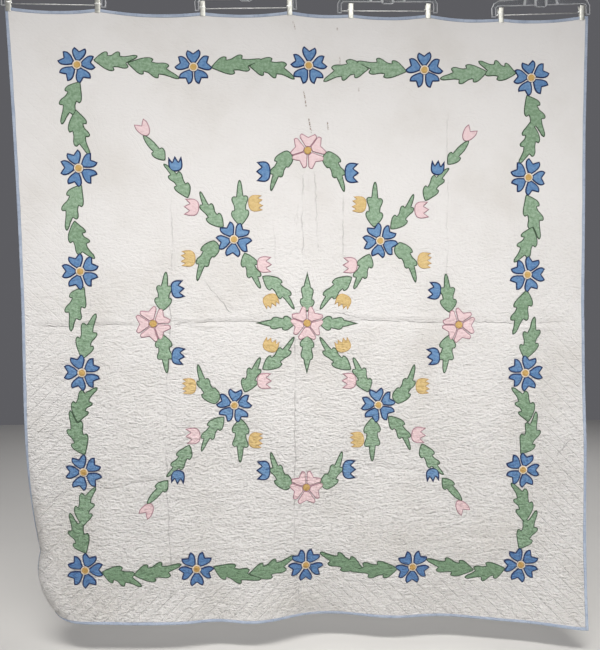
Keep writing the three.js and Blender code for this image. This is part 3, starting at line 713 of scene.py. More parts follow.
class Graph:
    def __init__(self, name):
        self.material = bpy.data.materials.new(name)
        self.material.use_nodes = True
        self.tree = self.material.node_tree
        self.shader = self.tree.nodes["Principled BSDF"]

    def add(self, kind, settings=None, **inputs):  # i0, i1 and so on stand for numbered sockets
        made = self.tree.nodes.new(kind)
        for key, value in (settings or {}).items():
            setattr(made, key, value)
        for key, value in inputs.items():
            isNumbered = key[0] == "i" and key[1:].isdigit()
            self.put(made.inputs[int(key[1:]) if isNumbered else key], value)
        return made

    def put(self, socket, value):
        if isinstance(value, bpy.types.NodeSocket):
            self.tree.links.new(value, socket)
        elif value is not None:
            socket.default_value = value

    def set(self, name, value):
        self.put(self.shader.inputs[name], value)

    def math(self, operation, a, b=None, c=None):
        made = self.add("ShaderNodeMath", {"operation": operation})
        for socket, value in zip(made.inputs, (a, b, c)):
            self.put(socket, value)
        return made.outputs[0]

    def times(self, a, b):
        return self.math("MULTIPLY", a, b)

    def mix(self, share, a, b):
        return self.add("ShaderNodeMix", {"data_type": "RGBA"}, i0=share, i6=a, i7=b).outputs[2]

    def noise(self, vector, scale, detail=3.0, roughness=0.55):
        return self.add("ShaderNodeTexNoise", None, Vector=vector, Scale=scale, Detail=detail,
                        Roughness=roughness).outputs[0]

    def span(self, value, low, high, outLow=0.0, outHigh=1.0, kind="SMOOTHSTEP"):
        return self.add("ShaderNodeMapRange", {"interpolation_type": kind}, i0=value, i1=low, i2=high,
                        i3=outLow, i4=outHigh).outputs[0]

    def patches(self, vector, scale, detail, *spans):
        return self.span(self.noise(vector, scale, detail), *spans)

    def stretched(self, vector, scale):
        return self.add("ShaderNodeMapping", None, Vector=vector, Scale=scale).outputs[0]

    def axes(self, vector):
        return self.add("ShaderNodeSeparateXYZ", None, i0=vector).outputs

    def uv(self, layer):
        return self.add("ShaderNodeUVMap", {"uv_map": layer}).outputs[0]

    def spot(self):
        return self.add("ShaderNodeTexCoord").outputs["Object"]

    def attribute(self, name):
        return self.add("ShaderNodeAttribute", {"attribute_name": name}).outputs["Fac"]

    def bump(self, height, strength, distance, normal=None):
        return self.add("ShaderNodeBump", None, Height=height, Strength=strength, Distance=distance,
                        Normal=normal).outputs[0]


weave = {"threads": 330.0, "uneven": 1.2, "height": 0.0004}
crinkleLook = {
    "bend": 9.0,
    "bendBy": (0.0, 0.03, 0.0),
    "rough": 0.62,
    "long": (46.0, 104.0, 1.0),
    "longShare": 0.47,
    "short": (90.0, 150.0, 1.0),
    "shortShare": 0.53,
}


# plain weave of cotton: two crossed sets of threads, on the cloth's own flat measure in metres
def weaveBump(g, flat, strength):
    threads = [g.add("ShaderNodeTexWave", {"bands_direction": way}, Vector=flat, Scale=weave["threads"],
                     Distortion=weave["uneven"], Detail=1.0).outputs["Fac"] for way in "XY"]
    return g.bump(g.times(*threads), strength, weave["height"])


# small creases of a washed quilt, longer across than down
def crinkleHeight(g, flat):
    look = crinkleLook
    bend = g.noise(flat, look["bend"], 2.0)
    bent = g.add("ShaderNodeVectorMath", {"operation": "MULTIPLY_ADD"}, i0=bend, i1=look["bendBy"], i2=flat)
    long = g.noise(g.stretched(bent.outputs[0], look["long"]), 1.0, 3.0, look["rough"])
    short = g.noise(g.stretched(bent.outputs[0], look["short"]), 1.0, 2.0, look["rough"])
    return g.math("ADD", g.times(long, look["longShare"]), g.times(short, look["shortShare"]))


def cottonShader(g, roughness=0.92, sheen=0.12):
    g.set("Roughness", roughness)
    g.set("Specular IOR Level", 0.18)
    g.set("Sheen Weight", sheen)
    g.set("Sheen Roughness", 0.6)


groundLook = {
    "base": (228, 226, 224),
    "aged": (219, 216, 212),
    "mark": (122, 94, 74),
    # a darker tone for painted shade in crinkle hollows, fold lines and quilting grooves; along the folds it
    # also stands for crease soil
    "stitch": (178, 175, 174),
    "patches": (3.2, 4.0, 0.42, 0.75),  # scale, detail and span of a noise, as in the gaps below
    "crinkleShade": (0.34, 0.50, 0.48, 0.0),  # painted shade in the low places of the crinkle
    "foldWaver": (36.0, 3.0, 0.2, 0.8, -4.5, 4.5, "LINEAR"),  # in millimetres, as is the fold's width
    "foldWidth": (0.3, 2.4),
    "foldGaps": (13.0, 2.0, 0.36, 0.56, 0.25, 1.0),
    "foldShade": 0.42,
    "foldDip": 0.15,
    "markGaps": (170.0, 2.0, 0.40, 0.58),
    "grooveWidth": 0.07,  # share of the quilting's pitch
    "echoPitch": 13.0,  # quilting that follows the sewn-on pieces
    "echoWidth": 0.16,
    "echoFade": (4.0, 70.0, 0.6, 0.0),
    "echoWashed": (0.7, 0.25),
    "stitchGaps": (420.0, 1.0, 0.35, 0.6),
    "sunkShade": 0.18,
    "sunkDip": 0.13,
    "weave": 0.10,
    "folds": 0.0160,
}
streaks = [  # old rusty lines: from, to, width, strength
    ((-16, 824), (-5, 758), 3.6, 0.85),
    ((2, 728), (13, 668), 3.8, 0.95),
    ((69, 716), (72, 682), 3.4, 0.9),
    ((-54, 1058), (-45, 1026), 4.0, 0.6),
    ((111, 945), (113, 908), 3.4, 0.5),
    ((178, 836), (180, 820), 3.6, 0.55),
    ((101, 1046), (103, 1034), 4.0, 0.5),
]


# one along a streak and nought elsewhere, on the cloth's flat measure
def streakMask(g, flat, start, end, width):
    turn = math.atan2(end[1] - start[1], end[0] - start[0])
    size = (math.dist(start, end) * mm, width * mm, 1.0)
    place = g.add("ShaderNodeMapping", {"vector_type": "TEXTURE"}, Vector=flat, Scale=size,
                  Location=(start[0] * mm, start[1] * mm, 0.0), Rotation=(0.0, 0.0, turn)).outputs[0]
    along, aside, _ = g.axes(place)
    inLength = g.times(g.span(along, 0.0, 0.2), g.span(along, 0.8, 1.0, 1.0, 0.0))
    return g.times(inLength, g.span(g.math("ABSOLUTE", aside), 0.2, 1.0, 1.0, 0.0))


def groundMaterial(name, isFront):
    look = groundLook
    stitch = linear(look["stitch"])
    g = Graph(name)
    flat = g.uv("flat")
    cottonShader(g)
    colour = g.mix(g.patches(flat, *look["patches"]), linear(look["base"]), linear(look["aged"]))
    crinkle = crinkleHeight(g, flat)
    low = g.attribute("washed")
    # painted shade: the low places of the crinkle take the darker tone, more where the cloth is washed
    colour = g.mix(g.times(g.span(crinkle, *look["crinkleShade"]), low), colour, stitch)
    height = g.times(crinkle, low)
    if isFront:
        waver = g.patches(flat, *look["foldWaver"])
        foldWay = g.math("ABSOLUTE", g.math("ADD", g.attribute("foldAside"), waver))
        foldLine = g.times(g.span(foldWay, *look["foldWidth"], 1.0, 0.0), g.attribute("foldDepth"))
        foldLine = g.times(foldLine, g.patches(flat, *look["foldGaps"]))
        # painted shade along the thin fold lines, with some crease soil
        colour = g.mix(g.times(foldLine, look["foldShade"]), colour, stitch)
        height = g.math("SUBTRACT", height, g.times(foldLine, look["foldDip"]))
        broken = g.patches(flat, *look["markGaps"])
        for start, end, width, strength in streaks:
            inStreak = g.times(streakMask(g, flat, start, end, width), strength)
            colour = g.mix(g.times(inStreak, broken), colour, linear(look["mark"]))
    rows = g.math("PINGPONG", g.math("DIVIDE", g.attribute("quiltRow"), borderQuilting["pitch"]), 0.5)
    groove = g.times(g.span(rows, 0.0, look["grooveWidth"], 1.0, 0.0), g.attribute("inBorder"))
    echo = g.attribute("echo")
    echoes = g.math("PINGPONG", g.math("DIVIDE", echo, look["echoPitch"]), 0.5)
    ditch = g.times(g.span(echoes, 0.0, look["echoWidth"], 1.0, 0.0), g.span(echo, *look["echoFade"]))
    ditch = g.times(ditch, g.math("MULTIPLY_ADD", low, *look["echoWashed"]))
    sunk = g.math("MAXIMUM", g.times(groove, low), ditch)
    holes = g.patches(flat, *look["stitchGaps"])
    # painted shade in the quilting grooves and the echo quilting, broken into stitches
    colour = g.mix(g.times(g.times(sunk, holes), look["sunkShade"]), colour, stitch)
    height = g.math("SUBTRACT", height, g.times(sunk, look["sunkDip"]))
    g.set("Base Color", colour)
    g.set("Normal", g.bump(height, 1.0, look["folds"], weaveBump(g, flat, look["weave"])))
    return g.material


sewnCloth = {
    "fade": (0.30, 0.70, -0.22, 0.56),
    "tone": 0.65,
    "washed": (0.8, 0.22),
    "crinkleShade": (0.34, 0.52, 0.85, 0.0),
    "stitchPitch": 2.4,
    "stitchWave": 0.28,
    "weave": 0.12,
    "folds": 0.0130,
    "cords": 0.0006,
}
sewnParts = ("base", "worn", "shadeTone", "edge", "edgeLight", "edgeWidth", "edgeShare")
sewnLooks = {
    "blue": ((88, 128, 176), (122, 159, 196), (62, 98, 148), (22, 34, 74), (34, 50, 98), 4.8, 0.97),
    "green": ((122, 152, 122), (167, 192, 167), (88, 118, 88), (44, 66, 46), (60, 84, 60), 3.6, 0.92),
    "pink": ((230, 200, 203), (236, 213, 215), (208, 172, 178), (146, 98, 112), (170, 122, 134), 3.2, 0.85),
    "gold": ((212, 183, 122), (224, 198, 144), (180, 142, 82), (176, 132, 72), (194, 152, 90), 2.6, 0.7),
    "cream": ((226, 214, 194), (234, 224, 208), (200, 184, 160), (96, 96, 112), (120, 118, 130), 1.5, 0.7),
    "core": ((200, 161, 94), (212, 179, 114), (164, 122, 60), (150, 110, 58), (174, 134, 78), 1.6, 0.7),
}


# sewn-on cotton with a stitched edge. the map "edging" measures along it and inwards, in millimetres
def sewnMaterial(name, look):
    cloth = sewnCloth
    g = Graph(name)
    flat = g.uv("flat")
    along, inwards, _ = g.axes(g.uv("edging"))
    cottonShader(g, 0.9, 0.16)
    fade = g.span(g.noise(flat, 95.0, 3.0, 0.65), *cloth["fade"])
    share = g.math("ADD", fade, g.times(g.attribute("tone"), cloth["tone"]))
    colour = g.mix(share, linear(look["base"]), linear(look["worn"]))
    crinkle = crinkleHeight(g, flat)
    washed = g.math("MULTIPLY_ADD", g.attribute("washed"), *cloth["washed"])
    # painted shade: the low places of the crinkle take the darker shade tone
    colour = g.mix(g.times(g.span(crinkle, *cloth["crinkleShade"]), washed), colour, linear(look["shadeTone"]))
    threads = g.math("SINE", g.times(along, 2 * math.pi / cloth["stitchPitch"]))
    width = g.math("ADD", g.times(threads, cloth["stitchWave"]), look["edgeWidth"])
    inEdge = g.span(g.math("SUBTRACT", width, inwards), -0.5, 0.5)
    sewn = g.mix(g.span(threads, -0.8, 0.9), linear(look["edge"]), linear(look["edgeLight"]))
    g.set("Base Color", g.mix(g.times(inEdge, look["edgeShare"]), colour, sewn))
    folds = g.bump(g.times(crinkle, washed), 1.0, cloth["folds"], weaveBump(g, flat, cloth["weave"]))
    g.set("Normal", g.bump(g.times(threads, inEdge), 0.35, cloth["cords"], folds))
    return g.material


sewnMaterials = {}
for name, values in sewnLooks.items():
    sewnMaterials[name] = sewnMaterial(f"{name}Cotton", dict(zip(sewnParts, values)))
groundFront = groundMaterial("whiteQuilting", True)
groundBack = groundMaterial("whiteBacking", False)
print("cloth materials made")


# cloth meshes

def linked(name, data):  # a new object in the scene
    made = bpy.data.objects.new(name, data)
    bpy.context.scene.collection.objects.link(made)
    return made


# flat: the points' own places on the flat cloth
def clothObject(name, points, faces, flat, material, edging=None, fields=None):
    mesh = bpy.data.meshes.new(name)
    mesh.from_pydata(points.tolist(), [], faces.tolist())
    mesh.uv_layers.new(name="flat").data.foreach_set("uv", (flat * mm)[faces.ravel()].ravel())
    if edging is not None:
        mesh.uv_layers.new(name="edging").data.foreach_set("uv", edging.ravel())
    for key, values in (fields or {}).items():
        mesh.attributes.new(key, "FLOAT", "POINT").data.foreach_set("value", values.ravel())
    mesh.polygons.foreach_set("use_smooth", [True] * len(mesh.polygons))
    mesh.materials.append(material)
    piece = linked(name, mesh)
    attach(piece, "root")
    return piece


# a layer of the quilt on a grid of points
def layerObject(name, u, v, height, reverse, material, fields):
    rows, columns = u.shape
    index = np.arange(rows * columns).reshape(rows, columns)
    faces = np.stack([index[:-1, :-1], index[:-1, 1:], index[1:, 1:], index[1:, :-1]], -1).reshape(-1, 4)
    faces = faces[:, ::-1] if reverse else faces
    flat = np.stack([u.ravel(), v.ravel()], -1)
    piece = clothObject(name, hung(u.ravel(), v.ravel(), height.ravel()), faces, flat, material, None, fields)
    return piece


petalSets = {}
for kind, places in flowerPlaces.items():
    look = flowerKinds[kind]
    for k, (u, v, turn) in enumerate(places, 1):
        petals = petalOutlines(u, v, turn, look["radius"], look["wide"], 40 * k + len(kind))
        petalSets[(kind, k)] = petals
        allOutlines += petals

# the ground dips under and round each sewn-on piece
sewnDip = {"under": 0.9, "round": 0.7, "fade": 9.0, "reach": 75, "far": 200.0}
echo = np.full(gridU.shape, sewnDip["far"])
dip = np.zeros(gridU.shape)
for outline in allOutlines:
    low, high = outline.min(0) - sewnDip["reach"], outline.max(0) + sewnDip["reach"]
    near = (gridU > low[0]) & (gridU < high[0]) & (gridV > low[1]) & (gridV < high[1])
    points = np.stack([gridU[near], gridV[near]], -1)
    away = outlineDistance(points, outline)
    inside = insideOutline(points, outline)
    echo[near] = np.minimum(echo[near], np.where(inside, 0, away))
    lowered = np.where(inside, sewnDip["under"], sewnDip["round"] * np.exp(-((away / sewnDip["fade"]) ** 2)))
    dip[near] = np.maximum(dip[near], lowered)

halfThick = quiltShape["thick"] / 2
rimFade = (4, 24)  # the relief fades out towards the binding
backSize = {"columns": 181, "rows": 361, "relief": 0.8, "apart": 0.6}


def rimShare(u, v):
    aside = np.minimum(u - leftAt(v), rightAt(v) - u)
    above = np.minimum(v - hemAt(u), quiltShape["top"] - v)
    return smoothstep(np.minimum(aside, above), *rimFade)


quiltRow, inBorder = borderRowsAt(gridU, gridV)
quiltTop = layerObject(
    "quiltTop", gridU, gridV, halfThick + (gridRelief - dip) * rimShare(gridU, gridV), False, groundFront,
    {"washed": washedAt(gridV), "foldAside": foldAside, "foldDepth": foldDepth, "quiltRow": quiltRow,
     "inBorder": inBorder, "echo": echo})
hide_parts("quilt")

backU, backV = flatGrid(np.linspace(0, 1, backSize["columns"]), np.linspace(0, 1, backSize["rows"]))
backRow, backBorder = borderRowsAt(backU, backV)
backRelief = backSize["relief"] * readGrid(gridRelief, backU, backV) * rimShare(backU, backV)
quiltBacking = layerObject(
    "quiltBacking", backU, backV, -halfThick + backRelief - backSize["apart"], True, groundBack,
    {"washed": washedAt(backV), "quiltRow": backRow, "inBorder": backBorder,
     "echo": readGrid(echo, backU, backV)})
print("quilt laid:", len(quiltTop.data.polygons) * 2 + len(quiltBacking.data.polygons) * 2, "triangles")

# rings of points inside an outline, and their height over the face in millimetres
sewnRings = [(0.0, -0.35), (0.8, 0.75), (1.9, 1.15), (3.6, 0.95), (6.4, 1.3)]
sewnPuff = {"height": 1.9, "full": 16.0, "spacing": 6.5, "rowShare": 0.87, "ringShare": 0.86, "clear": 2.0}
sewnWave = (0.25, 18, 11)  # height, cell across and up
waveFrom = (0.9, 1.5)  # height at which the wave sets in
liftFrom = (0, 2)  # way in from the edge at which a piece is lifted
sewnTone = {"uneven": 0.5, "lowDarker": 0.7, "lowFrom": (700, 900)}
sewnPale = {"border": 0.0, "garden": 0.22, "centre": 0.37, "buds": 0.3, "flowers": 0.4}
sewnLift = {"buds": 0.25, "petals": 0.5, "cream": 1.1, "core": 1.9, "pinkCore": 1.2}  # over the pieces below


def ringHeight(distance):
    steps = [row[0] for row in sewnRings] + [sewnPuff["full"]]
    heights = [row[1] for row in sewnRings] + [sewnPuff["height"]]
    return np.interp(distance, steps, heights)


def sewnMesh(outline, lift):
    following = np.roll(outline, -1, 0) - np.roll(outline, 1, 0)
    normal = np.stack([-following[:, 1], following[:, 0]], -1)
    normal /= np.maximum(np.linalg.norm(normal, axis=1, keepdims=True), 1e-9)
    along = np.concatenate([[0], np.cumsum(np.linalg.norm(np.diff(outline, axis=0), axis=1))])
    total = along[-1] + np.linalg.norm(outline[0] - outline[-1])
    rows = [(outline, np.zeros(len(outline)), along)]  # points, ways in from the edge, ways along it
    for inset, _ in sewnRings[1:]:
        ring = outline + normal * inset
        away = outlineDistance(ring, outline)
        keep = insideOutline(ring, outline) & (away > sewnPuff["ringShare"] * inset)
        rows.append((ring[keep], away[keep], along[keep]))
    low, high = outline.min(0), outline.max(0)
    step = sewnPuff["spacing"]
    up = np.arange(low[1], high[1], step * sewnPuff["rowShare"])
    a, b = np.meshgrid(np.arange(low[0], high[0], step), up)
    a = a + 0.5 * step * (np.arange(len(b)) % 2)[:, None]
    inner = np.stack([a.ravel(), b.ravel()], -1)
    inner = inner[insideOutline(inner, outline)]
    away = outlineDistance(inner, outline)
    keep = away > sewnRings[-1][0] + sewnPuff["clear"]
    nearest = ((inner[keep, None] - outline[None]) ** 2).sum(-1).argmin(1)
    rows.append((inner[keep], away[keep], along[nearest]))
    points, distances, alongs = (np.concatenate(column) for column in zip(*rows))
    count = len(outline)
    edges = [(k, (k + 1) % count) for k in range(count)]
    made = delaunay_2d_cdt([Vector(p) for p in points.tolist()], edges, [list(range(count))], 1, 1e-5)
    places = np.array([tuple(p) for p in made[0]])
    source = np.array([ids[0] if ids else -1 for ids in made[3]])
    faces = np.array([face for face in made[2] if len(face) == 3], int)
    distances = np.where(source >= 0, distances[source], 0)
    alongs = np.where(source >= 0, alongs[source], 0)
    first = alongs[faces[:, :1]]
    turned = alongs[faces] - total * np.round((alongs[faces] - first) / total)
    edging = np.stack([turned, distances[faces]], -1)
    face = places[faces]
    isTurned = np.cross(face[:, 1] - face[:, 0], face[:, 2] - face[:, 0]) < 0
    faces = np.where(isTurned[:, None], faces[:, ::-1], faces)
    edging = np.where(isTurned[:, None, None], edging[:, ::-1], edging).reshape(-1, 2)
    return places, faces, edging, ringHeight(distances) + lift * smoothstep(distances, *liftFrom)


# above nought for an outline that runs against the clock
def turnSense(outline):
    x, y = outline[:, 0], outline[:, 1]
    return float((x * np.roll(y, -1) - np.roll(x, -1) * y).sum())


# one object of outlines, each with its material and its lift
def sewnObject(name, groups, seed, pale):
    rng = np.random.default_rng(seed)
    rows, materials, count = [], [], 0
    for outline, material, lift in groups:
        if turnSense(outline) < 0:
            outline = outline[::-1]
        places, faces, edging, height = sewnMesh(outline, lift)
        u, v = places[:, 0], places[:, 1]
        wave = waves((*sewnWave, seed + 5), 1, u, v) * smoothstep(height, *waveFrom)
        points = hung(u, v, halfThick + readGrid(gridRelief, u, v) + height + wave)
        lowDarker = sewnTone["lowDarker"] * smoothstep(-v.mean(), *sewnTone["lowFrom"])
        tone = pale + rng.uniform(0, sewnTone["uneven"]) - lowDarker
        if material not in materials:
            materials.append(material)
        slots = np.full(len(faces), materials.index(material))
        rows.append((points, faces + count, edging, places, np.full(len(places), tone), washedAt(v), slots))
        count += len(places)
    points, faces, edging, flat, tones, washed, slots = (np.concatenate(column) for column in zip(*rows))
    fields = {"tone": tones, "washed": washed}
    piece = clothObject(name, points, faces, flat, sewnMaterials[materials[0]], edging, fields)
    for material in materials[1:]:
        piece.data.materials.append(sewnMaterials[material])
    piece.data.polygons.foreach_set("material_index", slots.astype(np.int32))
    return piece


sewnPieces = []
for name, outlines in leafGroups.items():
    groups = [(outline, "green", 0.0) for outline in outlines]
    sewnPieces.append(sewnObject(name, groups, len(sewnPieces), sewnPale[name.split("Leaves")[0]]))
for colour, outlines in budGroups.items():
    groups = [(outline, colour, sewnLift["buds"]) for outline in outlines]
    sewnPieces.append(sewnObject(f"{colour}Buds", groups, len(sewnPieces), sewnPale["buds"]))
for (kind, k), petals in petalSets.items():
    u, v, _ = flowerPlaces[kind][k - 1]
    look = flowerKinds[kind]
    colour = "pink" if kind == "pink" else "blue"
    groups = [(petal, colour, sewnLift["petals"]) for petal in petals]
    centre = discOutline(u, v, look["centre"], 7 * k)
    if look["core"]:
        groups.append((centre, "cream", sewnLift["cream"]))
        groups.append((discOutline(u, v, look["core"], 9 * k), "core", sewnLift["core"]))
    else:
        groups.append((centre, "core", sewnLift["pinkCore"]))
    pale = sewnPale["border" if kind == "border" else "flowers"]
    piece = sewnObject(f"{kind}Flower_{k:02d}", groups, 100 + k, pale)
    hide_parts(f"flower_{kind}_{k:02d}")
    sewnPieces.append(piece)
print("sewn pieces:", len(sewnPieces), "objects,", sum(len(p.data.polygons) for p in sewnPieces), "triangles")

# binding: a folded strip round the rim. inset from the rim and height over the middle surface
bindingLook = {"base": (160, 172, 192), "worn": (180, 191, 208), "shadeTone": (120, 132, 156),
               "patches": (18.0, 4.0, 0.35, 0.7), "seam": (0.0, 2.4, 1.0, 0.0), "seamShade": 0.8,
               "pucker": (0.16, 0.05, 1.0), "puckerShade": (0.3, 0.48, 0.35, 0.0), "weave": 0.12}
bindingFold = [(10.6, 2.0), (10.1, 3.0), (8.0, 3.5), (5.0, 3.6), (2.0, 3.4), (0.0, 2.6), (-1.0, 1.2),
               (-1.2, 0.0), (-1.0, -1.2), (0.0, -2.7), (2.5, -3.6), (7.0, -3.7), (10.5, -3.2), (11.5, -2.4)]
bindingStep = 7.0
# unevenness of its inner edge and of its faces: height, cell along and up, seed
bindingWander = (0.7, 60, 50, 32)
bindingPlump = (0.25, 16, 50, 31)
looseFrom = {"inset": 6, "height": 2.5}
rimReach = {"left": 40, "right": 45, "corner": 1000, "clear": 3}  # for the points of the hem and the top


def rimPoints():
    q = quiltShape
    reach = rimReach
    across = np.arange(q["leftSide"] - reach["left"], q["rightSide"] + reach["right"], bindingStep)
    lowLeft, lowRight = leftAt(hemAt(-reach["corner"])), rightAt(hemAt(reach["corner"]))
    topLeft, topRight = leftAt(q["top"]), rightAt(q["top"])

    def acrossTo(left, right):
        isClear = (across > left + reach["clear"]) & (across < right - reach["clear"])
        return np.concatenate([[left], across[isClear], [right]])

    hemU = acrossTo(lowLeft, lowRight)
    topU = acrossTo(topLeft, topRight)
    rise = np.linspace(0, 1, int((q["top"] - q["hem"]) / bindingStep))[1:-1]
    rightV = hemAt(lowRight) + (q["top"] - hemAt(lowRight)) * rise
    leftV = (hemAt(lowLeft) + (q["top"] - hemAt(lowLeft)) * rise)[::-1]
    u = np.concatenate([hemU, rightAt(rightV), topU[::-1], leftAt(leftV)])
    v = np.concatenate([hemAt(hemU), rightV, np.full(len(topU), q["top"]), leftV])
    return u, v


def inset(u, v, depth):
    q = quiltShape
    inV = np.clip(v, hemAt(u) + depth, q["top"] - depth)
    inU = np.clip(u, leftAt(inV) + depth, rightAt(inV) - depth)
    return inU, inV


def bindingMaterial():
    look = bindingLook
    shadeTone = linear(look["shadeTone"])
    g = Graph("blueBinding")
    flat = g.uv("flat")
    strip = g.uv("strip")
    cottonShader(g, 0.9, 0.15)
    colour = g.mix(g.patches(flat, *look["patches"]), linear(look["base"]), linear(look["worn"]))
    # painted shade and stitches along the seam at the binding's inner edge
    seam = g.span(g.axes(strip)[1], *look["seam"])
    colour = g.mix(g.times(seam, look["seamShade"]), colour, shadeTone)
    # painted shade in the low places of the puckers
    pucker = g.noise(g.stretched(strip, look["pucker"]), 1.0, 3.0)
    g.set("Base Color", g.mix(g.span(pucker, *look["puckerShade"]), colour, shadeTone))
    g.set("Normal", g.bump(pucker, 0.5, 0.002, weaveBump(g, flat, look["weave"])))
    return g.material


rimU, rimV = rimPoints()
rimCount = len(rimU)
rimAlong = np.concatenate([[0], np.cumsum(np.hypot(np.diff(rimU), np.diff(rimV)))])
rimPlump = waves(bindingPlump, 1, rimAlong, 0 * rimAlong)
rimWander = waves(bindingWander, 1, rimAlong, 0 * rimAlong)
stripPoints, stripFlat = [], []
insets = np.cumsum([0] + [math.dist(a, b) for a, b in zip(bindingFold[:-1], bindingFold[1:])])
for depth, height in bindingFold:
    u, v = inset(rimU, rimV, depth + (rimWander if depth > looseFrom["inset"] else 0))
    plump = np.sign(height) * rimPlump * (abs(height) > looseFrom["height"])
    stripPoints.append(hung(u, v, np.full(rimCount, float(height)) + plump))
    stripFlat.append(np.stack([u, v], -1))
fold = len(bindingFold)
stripFaces, stripMap = [], []
for k in range(rimCount):
    n = (k + 1) % rimCount
    here, there = rimAlong[k], rimAlong[k] + bindingStep if n == 0 else rimAlong[n]
    for s in range(fold - 1):
        stripFaces.append((k * fold + s, k * fold + s + 1, n * fold + s + 1, n * fold + s))
        stripMap += [(here, insets[s]), (here, insets[s + 1]), (there, insets[s + 1]), (there, insets[s])]
quiltBinding = clothObject("quiltBinding", np.stack(stripPoints, 1).reshape(-1, 3), np.array(stripFaces),
                           np.stack(stripFlat, 1).reshape(-1, 2), bindingMaterial())
quiltBinding.data.uv_layers.new(name="strip").data.foreach_set("uv", np.array(stripMap, float).ravel())
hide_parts("binding")
print("binding folded round the rim:", len(stripFaces) * 2, "triangles")


# clip hangers, modelled in a hanger's own place: hook on the rail at the origin, bar along X

hangerFrame = {"rim": 2.8, "recess": 2.3, "soft": 0.6, "ribAt": 58.0, "ribSlant": 12.0, "rib": 1.5,
               "boss": 19.0, "middle": -80, "ribClear": 0.6, "bossClear": 0.2}
hangerHook = {"wire": 1.8, "foot": -51.7, "bendFrom": -46.0, "bend": 50.0, "bendRadius": 9.56,
              "straight": 11.31, "bowl": 255.0, "bowlDrop": -17.0, "soft": 0.7}
hangerBar = {"radius": 2.0, "length": 323.4, "soft": 0.5}
clipJaw = {"rim": 2.6, "rise": 0.5, "soft": 0.35, "faceFrom": 3.9}
clipBand = {"width": 19.8, "depth": 11.2, "low": 2.5, "high": 5.6, "wall": 0.7, "soft": 0.25}
facing = 0.9  # least share of a normal along an axis for a face to count as facing it
smoothBelow = 40  # edges sharper than this many degrees stay sharp


def hangerPlace(number):
    row = hangerRows[number - 1]
    return Matrix.Translation((row["at"] * mm, 0, 0)) @ Matrix.Rotation(-math.radians(row["tilt"]), 4, "Y")


def clipPlace(number, side):
    return hangerPlace(number) @ Matrix.Translation((hangerRows[number - 1]["clips"][side] * mm, 0, 0))


def takeUp(piece):  # the only selected and active object
    bpy.ops.object.select_all(action="DESELECT")
    piece.select_set(True)
    bpy.context.view_layer.objects.active = piece


def toMode(mode):
    bpy.ops.object.mode_set(mode=mode)


def selectAll(action="SELECT"):
    bpy.ops.mesh.select_all(action=action)


def copyOfNode(node, name, place):
    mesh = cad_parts[node].data.copy()
    mesh.materials.clear()
    mesh.transform(place.inverted())
    piece = linked(name, mesh)
    takeUp(piece)
    toMode("EDIT")
    selectAll()
    bpy.ops.mesh.remove_doubles(threshold=1e-5)
    bpy.ops.mesh.dissolve_limited(angle_limit=math.radians(1))
    toMode("OBJECT")
    return piece


def selectFaces(piece, wanted):
    toMode("EDIT")
    bpy.ops.mesh.select_mode(type="FACE")
    selectAll("DESELECT")
    toMode("OBJECT")
    for face in piece.data.polygons:
        face.select = wanted(face)
    toMode("EDIT")


def softenEdges(piece, width, segments=2, angle=32, edgeSlot=-1):
    toMode("OBJECT")
    takeUp(piece)
    bevel = piece.modifiers.new("softEdges", "BEVEL")
    bevel.width = width * mm
    bevel.segments = segments
    bevel.limit_method = "ANGLE"
    bevel.material = edgeSlot
    bevel.angle_limit = math.radians(angle)
    bpy.ops.object.modifier_apply(modifier=bevel.name)
    bpy.ops.object.shade_smooth_by_angle(angle=math.radians(smoothBelow))


# the newest object under its own name, with its place and turn applied
def newModel(name):
    piece = bpy.context.object
    piece.name = name
    bpy.ops.object.transform_apply(location=True, rotation=True, scale=True)
    return piece


def modelFrame():
    look = hangerFrame
    piece = copyOfNode("hanger_1_frame", "frameModel", hangerPlace(1))
    toMode("EDIT")
    slant = math.radians(look["ribSlant"])
    cuts = []
    for side in (-1, 1):  # two ribs leaning towards the hook, and the socket's two walls
        lean = (math.cos(slant), 0, side * math.sin(slant))
        for at, way in ((look["ribAt"], lean), (look["boss"], (1, 0, 0))):
            cuts += [(side * (at - look["rib"]), way), (side * (at + look["rib"]), way)]
    for at, way in cuts:
        selectAll()
        bpy.ops.mesh.bisect(plane_co=(at * mm, 0, look["middle"] * mm), plane_no=way)

    def isPanel(face):
        x = abs(face.center.x / mm)
        upright = x + math.tan(slant) * (face.center.z / mm - look["middle"])
        onRib = abs(upright - look["ribAt"]) < look["rib"] + look["ribClear"]
        onBoss = abs(x - look["boss"]) < look["rib"] + look["bossClear"]
        return abs(face.normal.y) > facing and not onRib and not onBoss

    piece.data.materials.append(frameFinish)
    piece.data.materials.append(paintedEdgeHighlight)
    selectFaces(piece, isPanel)
    bpy.ops.mesh.inset(thickness=look["rim"] * mm, depth=-look["recess"] * mm, use_even_offset=True)
    toMode("OBJECT")
    # the recessed panels stay clear; the rims, ribs, sides and bevels take the painted edge highlight
    for face in piece.data.polygons:
        face.material_index = 0 if face.select else 1
    softenEdges(piece, look["soft"], edgeSlot=1)
    return piece


